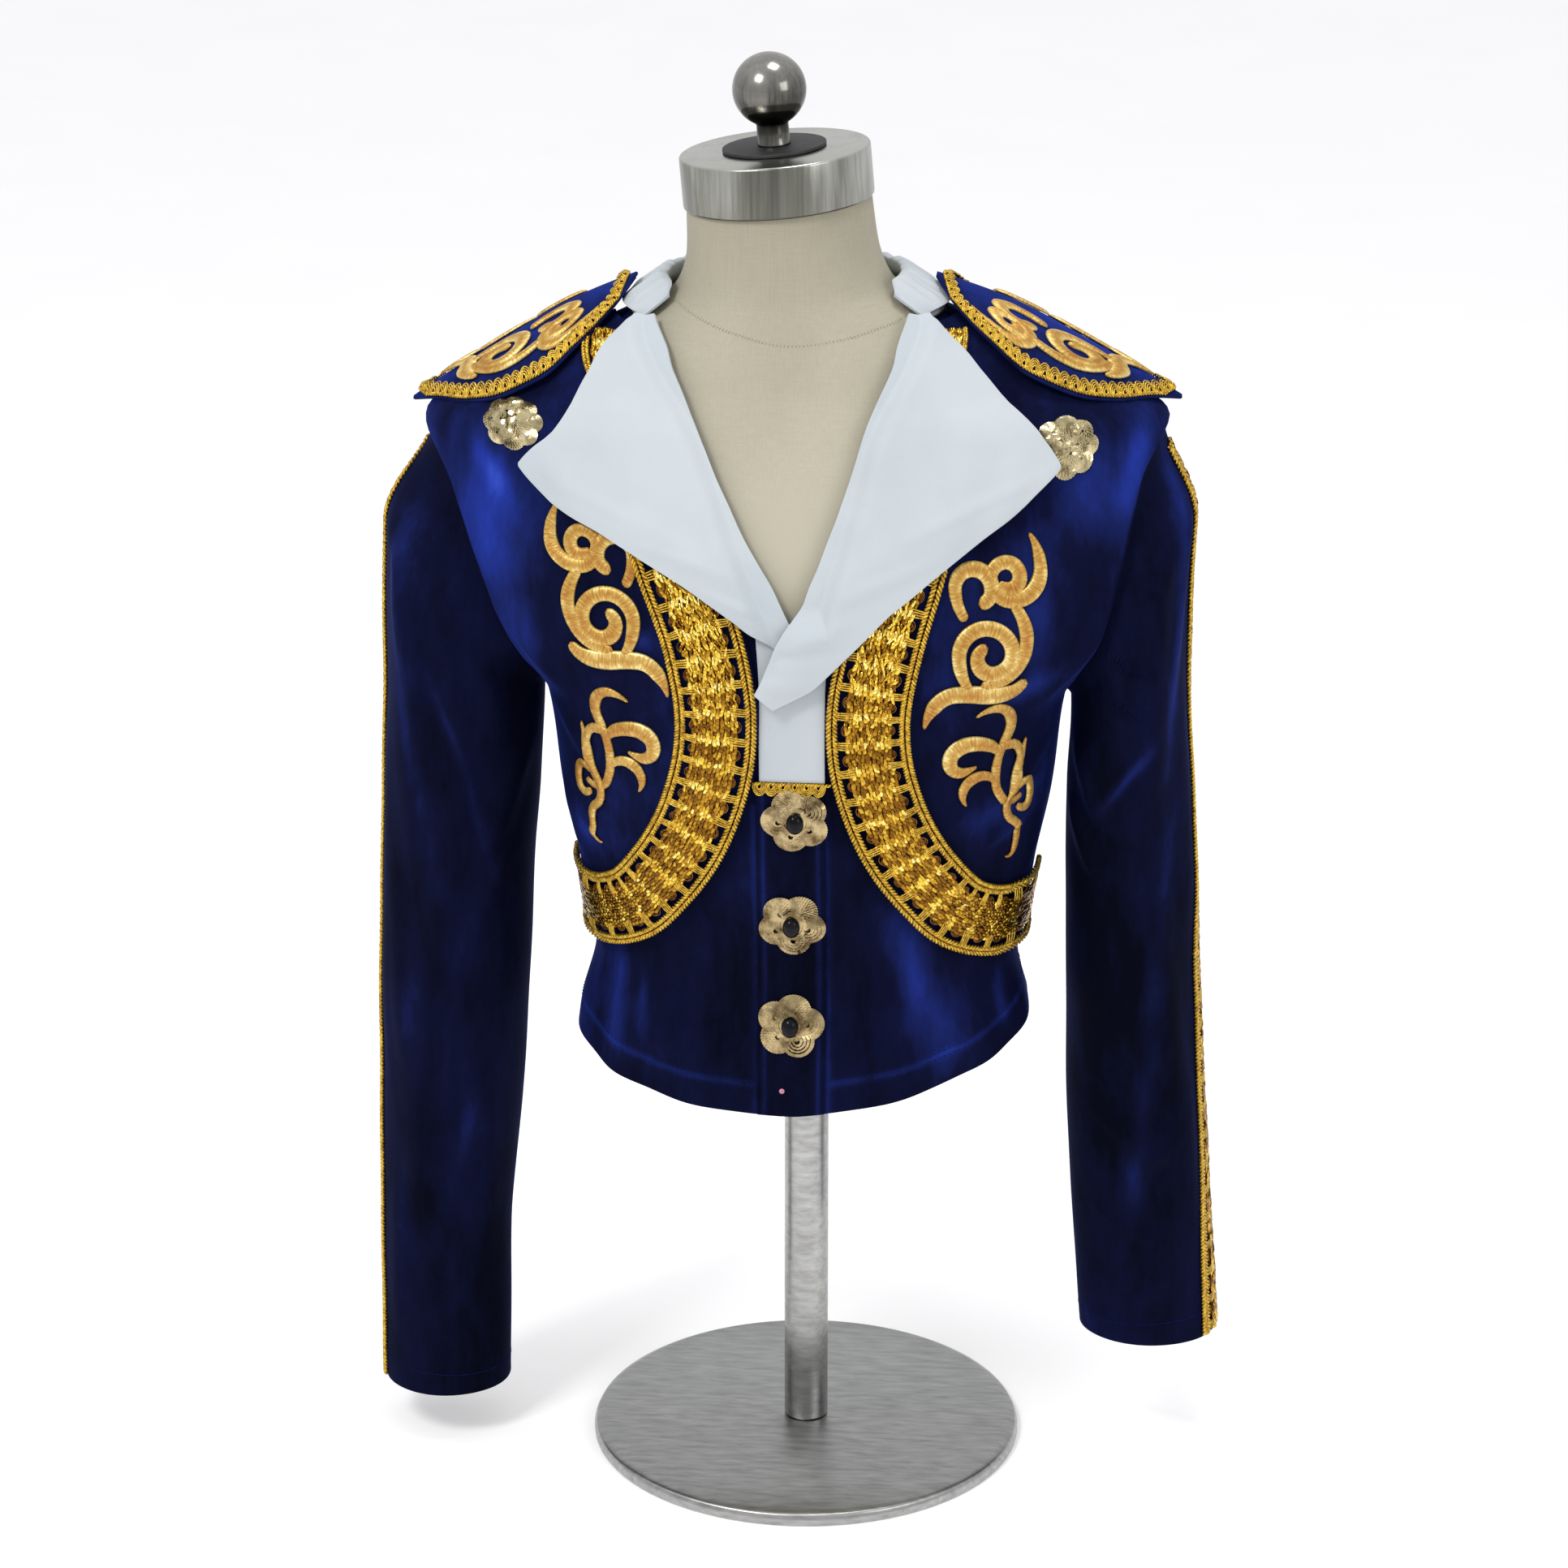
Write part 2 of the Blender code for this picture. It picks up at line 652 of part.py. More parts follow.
def ladder_rows(start, end, plain_from):
    """Distances where a ladder braid's rows lie, and which strips of it carry open gaps."""
    cells = int((end - plain_from) / LADDER_PITCH)
    first = end - cells * LADDER_PITCH
    plain = max(1, int(round((first - start) / 36)))
    rows = list(np.linspace(start, first, plain + 1))
    is_open = [False] * plain
    for cell in range(cells):
        rows += [first + cell * LADDER_PITCH + LADDER_PITCH - RUNG_WIDTH, first + (cell + 1) * LADDER_PITCH]
        is_open += [True, False]
    return rows, is_open


LADDER_COLUMNS = (1.0, 7.5, 13.5, 36.5, 42.5, 49.0)
BAND_WIDTH = LADDER_COLUMNS[3] - LADDER_COLUMNS[2]


def make_ladder(name, rows, is_open, place_at):
    """Galloon: two corded edges and a woven middle, joined by rungs with open gaps between them."""
    def place(s, t, out=0.0):
        w = LADDER_COLUMNS[int(round(s * (len(LADDER_COLUMNS) - 1)))]
        return place_at(rows[int(round(t * (len(rows) - 1)))], w, out)
    bm = bmesh.new()
    bmesh.ops.create_grid(bm, x_segments=len(LADDER_COLUMNS) - 1, y_segments=len(rows) - 1, size=0.5)
    gaps = []
    for face in bm.faces:
        centre = face.calc_center_median()
        column = int((centre.x + 0.5) * (len(LADDER_COLUMNS) - 1))
        row = int((centre.y + 0.5) * (len(rows) - 1))
        if is_open[row] and column in (1, 3):
            gaps.append(face)
    outer = {}
    for vert in bm.verts:
        s, t = vert.co.x + 0.5, vert.co.y + 0.5
        row = int(round(t * (len(rows) - 1)))
        follows_gap = 0 < row < len(rows) - 1 and is_open[row - 1]
        outer[vert.index] = follows_gap and (s < 0.01 or s > 0.99)
        vert.co = place(s, t)
    bmesh.ops.delete(bm, geom=gaps, context="FACES")
    face_out(bm, place)
    spare = [vert for vert in bm.verts if vert.is_boundary and len(vert.link_faces) == 2
             and all(len(edge.link_faces) == 2 or edge.is_boundary for edge in vert.link_edges)
             and vert.index in outer and outer[vert.index]]
    bmesh.ops.dissolve_verts(bm, verts=spare)
    piece = add_object(name, finish_mesh(bm, name), "gold_braid")
    solidify = piece.modifiers.new("wall", "SOLIDIFY")
    solidify.thickness = BRAID_THICK * MM
    solidify.offset = 1.0
    return piece


GALLOON_PULL = 45.0
GALLOON_LIFT = 1.0
SEAM_CLEAR = 1.5


def make_front_galloon(name, hand):
    """Galloon round the bolero's edge, its foot pulled square to the side seam."""
    rows, is_open = ladder_rows(edge_distance(778), edge_length, edge_distance(600))

    def place_at(distance, w, out=0.0):
        here, way = edge_at(distance)
        across, up = here + np.array([-way[1], way[0]]) * w
        pull = float(ease((distance - edge_length) / GALLOON_PULL + 1))
        across += pull * (side(up) - SEAM_CLEAR - across)
        lift = GALLOON_LIFT * float(ease((up - 680) / 20) + ease((440 - up) / 20))
        return cloth(hand * across, up, TRIM_OUT + lift + out)
    return make_ladder(name, rows, is_open, place_at)


SLEEVE_GALLOON_TOP = 655.0
SLEEVE_GALLOON_BACK = {1: 3.0, -1: 8.0}
SLEEVE_GALLOON_OUT = 0.9
SLEEVE_HEAD_LIFT = 4.0


def make_sleeve_galloon(name, hand):
    """Galloon down the outer side of a sleeve, raised enough for its flat middle to bridge the curve."""
    end = SLEEVE_GALLOON_TOP - CUFF[hand] - SEAM_CLEAR
    rows, is_open = ladder_rows(0.0, end, 30.0)

    def place_at(distance, w, out=0.0):
        z = SLEEVE_GALLOON_TOP - distance
        half_depth = float(sleeve_at[hand](z)[3])
        half_width = float(sleeve_at[hand](z)[1] - sleeve_at[hand](z)[0]) / 2
        turn = (w - GALLOON_WIDTH / 2 + SLEEVE_GALLOON_BACK[hand]) / half_depth
        bridge = BAND_WIDTH ** 2 / 8 * half_width / half_depth ** 2
        start = sleeve_head(hand, turn)
        drop = (start[2] - z) / (start[2] - CUFF[hand])
        point = sleeve_point(hand, turn, start, drop)
        facing = np.array([math.cos(turn) / half_width * hand, math.sin(turn) / half_depth, 0])
        head_lift = SLEEVE_HEAD_LIFT * float(ease((z - 575) / 40))
        return point + facing / np.linalg.norm(facing) * (SLEEVE_GALLOON_OUT + bridge + head_lift + out)
    return make_ladder(name, rows, is_open, place_at)


LAPEL_RISE_FROM = 16.0
LAPEL_RISE_OVER = 12.0
LAPEL_CROWN = 2.0


def lapel_out(hand, across, up, s):
    """How far a lapel lies out: over the bolero's trimming, and low where only the form is under it."""
    inside = float(ease((across - edge_across(up) + LAPEL_RISE_FROM) / LAPEL_RISE_OVER))
    if hand > 0:
        inside = max(inside, 1 - float(ease((up - 575) / 20)))
    crown = math.sin(math.pi * min(s * 0.92 + 0.08, 1.0)) * LAPEL_CROWN
    return LAPEL_LOW + (LAPEL_OUT - LAPEL_LOW + crown) * inside


def make_lapel(name, hand):
    table = np.array(LAPEL[hand], float)

    def place(s, t, out=0.0):
        inner_across, inner_up, outer_across, outer_up = table[int(round(t * (len(table) - 1)))]
        part = s ** 1.4
        across = inner_across + (outer_across - inner_across) * part
        up = inner_up + (outer_up - inner_up) * part
        return cloth(hand * across, up, lapel_out(hand, across, up, s) + out)
    return cloth_wall(name, "satin_white", 4, len(table) - 1, place, thick=LAPEL_THICK)


COLLAR_FOLD = (
    # up, out: inner leaf, fold, outer leaf
    (816.5, -0.3), (832, 0.4), (845, 1.4), (852, 3.8), (849, 6.4), (838, 7.6), (826, 8.0), (818, 8.2),
)
COLLAR_FRONT = 0.365


def make_collar():
    def place(s, t, out=0.0):
        up, leaf_out = COLLAR_FOLD[int(round(t * (len(COLLAR_FOLD) - 1)))]
        part = 2 * s - 1
        share = 1 - abs(part) * (1 - COLLAR_FRONT)
        across = share * half_round(up)
        return cloth(math.copysign(across, part if part else 1.0), up, leaf_out + out)
    bm = grid(14, len(COLLAR_FOLD) - 1, place)
    face_out(bm, place, 0.5, 0.92)
    piece = add_object("collar", finish_mesh(bm, "collar"), "satin_white")
    solidify = piece.modifiers.new("wall", "SOLIDIFY")
    solidify.thickness = COLLAR_THICK * MM
    solidify.offset = -1.0
    return piece


def make_strip(name, look, left, right, columns, heights):
    """A strip laid on the fronts between two distances, with a row at each height given."""
    def place(s, t, out=0.0):
        across = left + (right - left) * s
        k = int(round(t * (len(heights) - 1)))
        up = heights[k]
        if up < WAIST:
            hand = 1 if across > 0 else -1
            hem = hem_height(hand, abs(across) / side(HEM_SIDES[hand]))
            up = panel_height(up / (len(PANEL_UPS) - 1), hem) + 0.4
        return cloth(across, up, PLACKET_OUT + out)
    return cloth_wall(name, look, columns, len(heights) - 1, place)


PLACKET_SIDES = (-22.0, 19.0)
PLACKET_UPS = (0, 1, 2, 343, 385, 430, 478)
INSERT_SIDES = (-19.6, 19.6)
INSERT_UPS = (486, 515, 535, 560)
GIMP_LENGTH = 46.0
GIMP_FOOT = 474.0
GIMP_WIDTH = 8.5
GIMP_SCALLOP = 1.5


def make_gimp():
    """Scalloped braid across the head of the placket."""
    def place(s, t, out=0.0):
        across = (s - 0.5) * GIMP_LENGTH
        up = GIMP_FOOT + (GIMP_WIDTH + GIMP_SCALLOP * abs(math.sin(s * math.pi * 5))) * t
        return cloth(across, up, PLACKET_OUT + CLOTH + GAP + out)
    return cloth_wall("placket_gimp", "gold_braid", 10, 1, place, thick=GIMP_THICK)


def make_wing(name, hand):
    first, last = WING[0][0], WING[-1][0]

    def place(s, t, out=0.0):
        return wing(hand, first + (last - first) * s, 2 * t - 1, out)
    return cloth_wall(name, "velvet", 9, 5, place, thick=WING_THICK)


def make_wing_braid(name, hand):
    """Braid all round a wing's edge, its points tapering with the wing's."""
    first, last = WING[0][0], WING[-1][0]
    middle = (first + last) / 2

    def place(s, t, out=0.0):
        around = 2 * s if s <= 0.5 else 2 - 2 * s
        way = -1.0 if s <= 0.5 else 1.0
        from_neck, from_tip = WING_BRAID_ENDS
        reach = last - first - from_neck - from_tip
        along = first + from_neck + reach * (0.5 - 0.5 * math.cos(math.pi * around))
        inner_along = middle + (along - middle) * 0.82
        half_depth = float(wing_at(inner_along)[1])
        inner = max(0.0, 1 - WING_BRAID_WIDTH / half_depth)
        along += (inner_along - along) * t
        tip = min(1.0, 2.5 * math.sin(math.pi * around))
        across = way * tip * (0.98 + (inner - 0.98) * t)
        return wing(hand, along, across, WING_THICK + TRIM_LIFT + TIP_LIFT * (1 - tip) + out)
    return cloth_wall(name, "gold_braid", 22, 1, place, thick=GIMP_THICK, wrap=True)


def petal_radius(turn, radius):
    return radius * (0.66 + 0.34 * abs(math.cos(turn * FLOWER_PETALS / 2)) ** 0.7)


def make_flower(name, across, up, radius, out_at, hole, height):
    """Five-petalled flower of massed sequins, open in the middle where a bead sits."""
    columns = FLOWER_PETALS * 4

    def place(s, t, out=0.0):
        turn = 2 * math.pi * s
        edge = petal_radius(turn, radius)
        r = hole + (edge - hole) * t
        swell = height * (1 - t) + 1.0 * abs(math.cos(turn * FLOWER_PETALS / 2)) * math.sin(math.pi * t)
        return cloth(across + r * math.sin(turn), up + r * math.cos(turn), out_at + swell + out)
    return cloth_wall(name, "sequin_gold", columns, 1, place, thick=FLOWER_THICK, wrap=True)


def make_bead(name, across, up, out_at):
    bm = bmesh.new()
    bmesh.ops.create_uvsphere(bm, u_segments=9, v_segments=5, radius=BEAD_RADIUS)
    base = cloth(across, up, out_at)
    normal = cloth(across, up, out_at + 1) - base
    normal /= np.linalg.norm(normal)
    turn = math.atan2(normal[1], normal[2])
    centre = base + normal * (BEAD_RADIUS * 0.8)
    for vert in bm.verts:
        x, y, z = vert.co.x, vert.co.y, vert.co.z * 0.8
        vert.co = (centre[0] + x, centre[1] + y * math.cos(turn) + z * math.sin(turn),
                   centre[2] - y * math.sin(turn) + z * math.cos(turn))
    return add_object(name, finish_mesh(bm, name), "black_bead")


# Scroll strokes, in millimetres and degrees: start (towards the centre front, up), heading, then arcs
# (length, turn), then the widths from one end to the other, evenly spaced
UPPER_SCROLL = (
    ((-27, 71), 235, ((21, 35), (27, 90), (20, 92), (14, 90), (13, 90), (10, 90), (7, 90)),
     (1.5, 6, 7.5, 8, 7, 7, 7, 8, 6)),
    ((4, 33), 180, ((12, -85), (16, -80), (19, -105), (20, -35)), (7, 8, 8, 7.5, 6, 5)),
    ((-16, 33), 232, ((20, 30), (12, 25), (22, 50), (12, 20)), (5, 7, 8, 7.5, 5)),
    ((-1, 7.5), 0, ((10, -90), (15, -90), (18, -90), (25, -90), (25, -90), (24, -38)),
     (6, 8.5, 8.5, 8, 8, 8, 7, 4)),
    ((-24.5, -13), -60, ((13, 45), (16, 25), (16, -12), (13, -45), (18, -35)), (5, 9, 10, 9, 8, 1)),
)
LOWER_SCROLL = (
    ((15, 27.5), 140, ((12, 30), (15, 80), (14, 48), (12, -8), (16, -20), (14, -25), (11, -60), (10, -50)),
     (0.8, 5, 7, 6, 5, 5.5, 5, 4.5, 3)),
    ((-2, -2), 75, ((12, -50), (13, -25), (10, -38), (11, -72), (10, -80), (9, -15)),
     (3, 7, 8.5, 9, 8, 6, 1)),
    ((-1, -21), 70, ((13, -55), (10, -50), (9, -45), (10, -50)), (3, 5, 6.5, 5, 0.8)),
    ((-21, 7), -75, ((26, 2), (12, 8), (10, -30), (10, -50), (9, 50), (15, 25), (8, 100)),
     (0.8, 5, 6, 6, 5, 5, 5, 4, 0.8)),
    ((-13, -25), 130, ((9, 50), (7, 70), (12, 35), (8, 80), (6, 80)), (4, 5, 5.5, 5, 4)),
    ((1, 4), 160, ((10, 22), (8, 62), (9, 24), (10, 60)), (4, 5.5, 5, 4, 3)),
)
WING_SCROLL = (
    ((6, 4), 12, ((16, -40), (24, -38), (22, 36), (24, 40), (18, -12), (24, 18), (12, 34)),
     (2, 8, 9, 8, 8, 7, 6, 2)),
    ((42, 2), 0, ((8, -90), (13, -90), (17, -90), (20, -92), (20, -70), (14, 62), (13, -62), (9, -130)),
     (6, 8, 8, 8, 8, 7, 7, 6, 5, 4)),
    ((104, -1), 180, ((8, 90), (12, 90), (15, 90), (19, 88), (20, 50), (16, -30)), (6, 8, 8, 8, 7, 6, 5)),
    ((114, 6), 20, ((12, -35), (9, -80), (6, -110)), (5, 6, 5, 4)),
)
ARC_STEP = 46.0
STROKE_THICK = 1.9
UPPER_SCROLL_AT = {1: (114, 562), -1: (110, 578)}
LOWER_SCROLL_AT = {1: (124, 498), -1: (114, 503)}
STROKE_LIFT = 0.13


def stroke_line(start, heading, arcs):
    """Points and headings along a stroke made of arcs."""
    x, y = start
    angle = math.radians(heading)
    line = [(x, y, angle)]
    for length, turn in arcs:
        steps = max(1, int(math.ceil(abs(turn) / ARC_STEP)))
        step, bend = length / steps, math.radians(turn) / steps
        for _ in range(steps):
            x += step * math.cos(angle + bend / 2)
            y += step * math.sin(angle + bend / 2)
            angle += bend
            line.append((x, y, angle))
    return line


def stroke_band(index, start, heading, arcs, widths):
    """One flat band of a scroll, in millimetres, on the plane z = 0."""
    line = stroke_line(start, heading, arcs)
    spread = np.interp(np.linspace(0, 1, len(line)), np.linspace(0, 1, len(widths)), widths)
    bm = bmesh.new()
    bmesh.ops.create_grid(bm, x_segments=1, y_segments=len(line) - 1, size=0.5)
    for vert in bm.verts:
        k = int(round((vert.co.y + 0.5) * (len(line) - 1)))
        x, y, angle = line[k]
        aside = -vert.co.x * spread[k]
        vert.co = (x - math.sin(angle) * aside, y + math.cos(angle) * aside, -STROKE_LIFT * index)
    bm.normal_update()
    if bm.faces[:][0].normal.z < 0:
        bmesh.ops.reverse_faces(bm, faces=bm.faces)
    mesh = bpy.data.meshes.new("stroke")
    bm.to_mesh(mesh)
    bm.free()
    piece = bpy.data.objects.new("stroke", mesh)
    bpy.context.scene.collection.objects.link(piece)
    solidify = piece.modifiers.new("thick", "SOLIDIFY")
    solidify.thickness = STROKE_THICK + 2 * STROKE_LIFT * index
    solidify.offset = 1.0
    return piece


def make_scroll(name, strokes, lay):
    """Raised scroll: its bands joined flat, then laid on the cloth by lay(x, y, out)."""
    bands = [stroke_band(k, *stroke) for k, stroke in enumerate(strokes)]
    whole = bands[0]
    for band in bands[1:]:
        union = whole.modifiers.new("union", "BOOLEAN")
        union.operation = "UNION"
        union.object = band
    bpy.context.view_layer.update()
    flat = bpy.data.meshes.new_from_object(whole.evaluated_get(bpy.context.evaluated_depsgraph_get()))
    for band in bands:
        bpy.data.objects.remove(band)
    bm = bmesh.new()
    bm.from_mesh(flat)
    bpy.data.meshes.remove(flat)
    bmesh.ops.triangulate(bm, faces=bm.faces)
    lowest = STROKE_LIFT * (len(strokes) - 1)
    mirrored = np.array(lay(1.0, 0.0, 0.0)) - np.array(lay(0.0, 0.0, 0.0))
    upward = np.array(lay(0.0, 1.0, 0.0)) - np.array(lay(0.0, 0.0, 0.0))
    outward = np.array(lay(0.0, 0.0, 1.0)) - np.array(lay(0.0, 0.0, 0.0))
    for vert in bm.verts:
        vert.co = lay(vert.co.x, vert.co.y, vert.co.z + lowest)
    if float(np.dot(np.cross(mirrored, upward), outward)) < 0:
        bmesh.ops.reverse_faces(bm, faces=bm.faces)
    return add_object(name, finish_mesh(bm, name), "gold_stitch")


def make_front_scroll(name, hand, strokes, at):
    def lay(x, y, out):
        return cloth(hand * (at[0] - x), at[1] + y, SCROLL_OUT + out)
    return make_scroll(name, strokes, lay)


def make_wing_scroll(name, hand):
    def lay(x, y, out):
        along = WING[0][0] + WING_SCROLL_START + x * WING_SCROLL_SPREAD
        half_depth = float(wing_at(along)[1])
        narrow = min(1.0, (half_depth - 10) / 30)
        return wing(hand, along, (y + WING_SCROLL_BACK) / half_depth * narrow, WING_THICK + TRIM_LIFT + out)
    return make_scroll(name, WING_SCROLL, lay)


def turned(name, look, profile, at, steps=28, tilt=0.0):
    """A turned piece: (radius, height) down its outer side from the top, spun about its axis."""
    bm = bmesh.new()
    corners = [bm.verts.new((radius * MM, 0, height * MM)) for radius, height in profile]
    for upper, lower in zip(corners, corners[1:]):
        bm.edges.new((upper, lower))
    mesh = bpy.data.meshes.new(name)
    bm.to_mesh(mesh)
    bm.free()
    piece = add_object(name, mesh, look)
    spin = piece.modifiers.new("turned", "SCREW")
    spin.steps = spin.render_steps = steps
    spin.use_merge_vertices = True
    spin.merge_threshold = 0.00001
    piece.location = [value * MM for value in at]
    piece.rotation_euler = (0, -tilt, 0)
    return piece


FORM_UPS = (
    FORM_BOTTOM, 328, 343, 385, 430, 475, 515, 555, 590, 620, 650, 684, 715, 755, 790, 815, 832, 850, 872, 902,
)
NECK_Y = -9.0
NECK_FROM = 850.0
NECK_OVER = 52.0


def make_form():
    """The form's body, smooth and whole, closed flat at its foot and at the neck."""
    def place(s, t, out=0.0):
        up = FORM_UPS[int(round(t * (len(FORM_UPS) - 1)))]
        x, y, z = ring(2 * math.pi * s, up, inside=FORM_CLEARANCE - out)
        at_neck = float(ease((up - NECK_FROM) / NECK_OVER))
        tilted = z + tilt(x, z) * (1 - at_neck) + math.tan(NECK_TILT) * x * at_neck
        return np.array([x + lean(z), y, tilted])
    bm = grid(28, len(FORM_UPS) - 1, place, wrap=True)
    face_out(bm, place, 0.5, 0.3)
    bmesh.ops.holes_fill(bm, edges=[edge for edge in bm.edges if edge.is_boundary], sides=0)
    bmesh.ops.recalc_face_normals(bm, faces=bm.faces)
    return add_object("form_body", finish_mesh(bm, "form_body"), "linen")


def make_neck_fittings():
    """Metal cap, thin black disc and ball knob on the neck, all square to its tilted top."""
    top = np.array([float(lean(NECK_TOP)), NECK_Y, NECK_TOP])
    axis = np.array([-math.sin(NECK_TILT), 0, math.cos(NECK_TILT)])

    def up_by(distance):
        return top + axis * distance
    soft = CAP_SOFT
    turned("neck_cap", "steel",
           ((0, CAP_THICK), (CAP_RADIUS - soft, CAP_THICK), (CAP_RADIUS, CAP_THICK - soft),
            (CAP_RADIUS, soft), (CAP_RADIUS - soft, 0), (0, 0)), up_by(GAP), tilt=NECK_TILT)
    turned("cap_washer", "black_disc",
           ((0, WASHER_THICK), (WASHER_RADIUS, WASHER_THICK), (WASHER_RADIUS, 0), (0, 0)),
           up_by(CAP_THICK + 2 * GAP), steps=20, tilt=NECK_TILT)
    neck, rise = KNOB_NECK
    low = math.asin(neck / KNOB_RADIUS)
    middle = rise + KNOB_RADIUS * math.cos(low)
    ball = [(KNOB_RADIUS * math.sin(a), middle + KNOB_RADIUS * math.cos(a))
            for a in np.linspace(0, math.pi - low, 8)]
    turned("knob", "chrome", tuple(ball) + ((neck, 0), (0, 0)),
           up_by(CAP_THICK + WASHER_THICK + 3 * GAP), steps=16, tilt=NECK_TILT)


def make_stand():
    pole_top = FORM_BOTTOM - GAP
    turned("stand_pole", "steel",
           ((0, pole_top), (POLE_RADIUS, pole_top), (POLE_RADIUS, FOOT_THICK + GAP), (0, FOOT_THICK + GAP)),
           (0, 0, 0), steps=20)
    turned("stand_foot", "steel",
           ((0, FOOT_THICK), (FOOT_RADIUS - 6, FOOT_THICK), (FOOT_RADIUS - 1.5, FOOT_THICK - 2),
            (FOOT_RADIUS, FOOT_THICK - 5), (FOOT_RADIUS, 0), (0, 0)), (0, 0, 0), steps=32)


def build():
    for old in list(bpy.data.objects):
        bpy.data.objects.remove(old)
    make_form()
    make_neck_fittings()
    make_stand()
    make_back()
    make_collar()
    sides = (("left", 1), ("right", -1))
    for word, hand in sides:
        make_front(f"front_{word}", hand)
        make_sleeve(f"sleeve_{word}", hand)
        make_bolero(f"bolero_{word}", hand)
        make_front_galloon(f"galloon_{word}", hand)
        make_sleeve_galloon(f"sleeve_galloon_{word}", hand)
        make_lapel(f"lapel_{word}", hand)
        make_wing(f"wing_{word}", hand)
        make_wing_braid(f"wing_braid_{word}", hand)
        make_front_scroll(f"scroll_upper_{word}", hand, UPPER_SCROLL, UPPER_SCROLL_AT[hand])
        make_front_scroll(f"scroll_lower_{word}", hand, LOWER_SCROLL, LOWER_SCROLL_AT[hand])
        make_wing_scroll(f"scroll_wing_{word}", hand)
    make_strip("placket", "velvet", *PLACKET_SIDES, 4, PLACKET_UPS)
    make_strip("insert", "satin_white", *INSERT_SIDES, 3, INSERT_UPS)
    make_gimp()
    trim = PLACKET_OUT + CLOTH + GAP
    for number, (across, up) in enumerate(PLACKET_FLOWERS, 1):
        lift = FLOWER_OVER_GIMP if number == 1 else FLOWER_LIFT
        make_flower(f"placket_flower_{number}", across, up, PLACKET_FLOWER_RADIUS, trim + lift,
                    BEAD_RADIUS + 0.5, FLOWER_DOME)
        make_bead(f"placket_bead_{number}", across, up, trim + lift)
    for (across, up), (word, hand) in zip(LAPEL_FLOWERS, sides):
        make_flower(f"lapel_flower_{word}", across, up, LAPEL_FLOWER_RADIUS, SCROLL_OUT + 0.3, 0.0, 0.4)


build()
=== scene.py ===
"""Looks of a ballet tunic in blue velvet with gold trimming, filled out on a dress form.

Cloth is laid out in two measures, in millimetres: across, the distance round the body from the centre
front line, plus towards +X, and up, the height, which runs on along the slope of the shoulder.
"""
import math

import bpy
import numpy as np
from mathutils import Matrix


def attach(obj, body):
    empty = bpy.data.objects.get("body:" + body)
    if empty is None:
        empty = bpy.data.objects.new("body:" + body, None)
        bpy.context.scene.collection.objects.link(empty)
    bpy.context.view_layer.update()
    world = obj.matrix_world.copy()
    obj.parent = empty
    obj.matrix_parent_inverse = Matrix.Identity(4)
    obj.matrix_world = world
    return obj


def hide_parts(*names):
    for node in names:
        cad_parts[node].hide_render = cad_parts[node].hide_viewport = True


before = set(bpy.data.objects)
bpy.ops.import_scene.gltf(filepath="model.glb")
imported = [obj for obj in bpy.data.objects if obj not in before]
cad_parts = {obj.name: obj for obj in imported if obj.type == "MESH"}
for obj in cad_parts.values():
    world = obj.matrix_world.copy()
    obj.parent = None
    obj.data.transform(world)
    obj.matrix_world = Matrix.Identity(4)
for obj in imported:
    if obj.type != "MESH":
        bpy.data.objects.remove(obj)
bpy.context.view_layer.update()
chance = np.random.default_rng(7)

MM = 0.001
HEM_FRONT, WAIST, UNDERARM, SHOULDER_POINT, CLOTH_TOP = 263.0, 343.0, 515.0, 684.0, 815.0
HEM_SIDES = {1: 311.0, -1: 297.0}
HEM_CURVES = {1: 1.35, -1: 1.9}
CLOTH, PLACKET_OUT, BOLERO_OUT = 1.2, 1.9, 3.2
TRIM_OUT = BOLERO_OUT + CLOTH + 1.2
SCROLL_OUT = BOLERO_OUT + CLOTH + 0.6
LAPEL_OUT, LAPEL_LOW, LAPEL_THICK = 9.3, 3.8, 2.2
SEAM_GAP, BOLERO_GAP = 0.2, 1.0
# Heights where a bolero's lower part ends and where its edge turns, and the share of its rows below
BOLERO_LEVEL, BOLERO_CORNER, BOLERO_LOW = 500.0, 440, 0.34
PLACKET_FROM, PLACKET_WIDTH, PLACKET_TOP, INSERT_FOOT = -22.0, 41.0, 478.0, 486.0
# The power that crowds a sleeve's rows towards its head
SLEEVE_ROWS = 1.15
GALLOON_WIDTH, LADDER_PITCH, TAPE_FROM, TAPE_WIDTH = 50.0, 19.0, 12.6, 24.8
FLOAT_COLUMNS, FLOAT_PITCH, FLOAT_LENGTH = 13, 3.6, 7.0
SIDES = (("left", 1), ("right", -1))

# Rings of the tunic: height along the cloth, true height, half width, depth in front and behind, middle y,
# roundness, half width of the form inside
TORSO = (
    (255, 255, 146, 99, 99, 0, 2.2, 134), (300, 300, 140, 96, 93, 0, 2.2, 131),
    (343, 343, 131, 91, 85, 0, 2.2, 127), (400, 400, 137, 97, 88, 0, 2.25, 133),
    (450, 450, 147, 104, 95, 0, 2.3, 144), (515, 515, 155, 110, 102, 0, 2.4, 151),
    (560, 560, 194, 108, 105, 0, 2.4, 157), (600, 600, 216, 103, 105, 0, 2.3, 169),
    (640, 640, 222, 92, 99, 0, 2.3, 187), (684, 684, 220, 80, 89, 0, 2.2, 192),
    (724, 706, 182, 75, 80, 0, 2.1, 169), (772, 729, 138, 70, 73, -2, 2.0, 133.5),
    (818, 750, 92, 65, 66, -4, 2.0, 89.2), (850, 768, 66, 60, 60, -6, 2.0, 64.4),
    (876, 790, 57, 57, 56, -8, 2.0, 57), (902, 816, 55, 55, 55, -9, 2.0, 55),
)
LEAN_FROM, LEAN = 560.0, 0.075
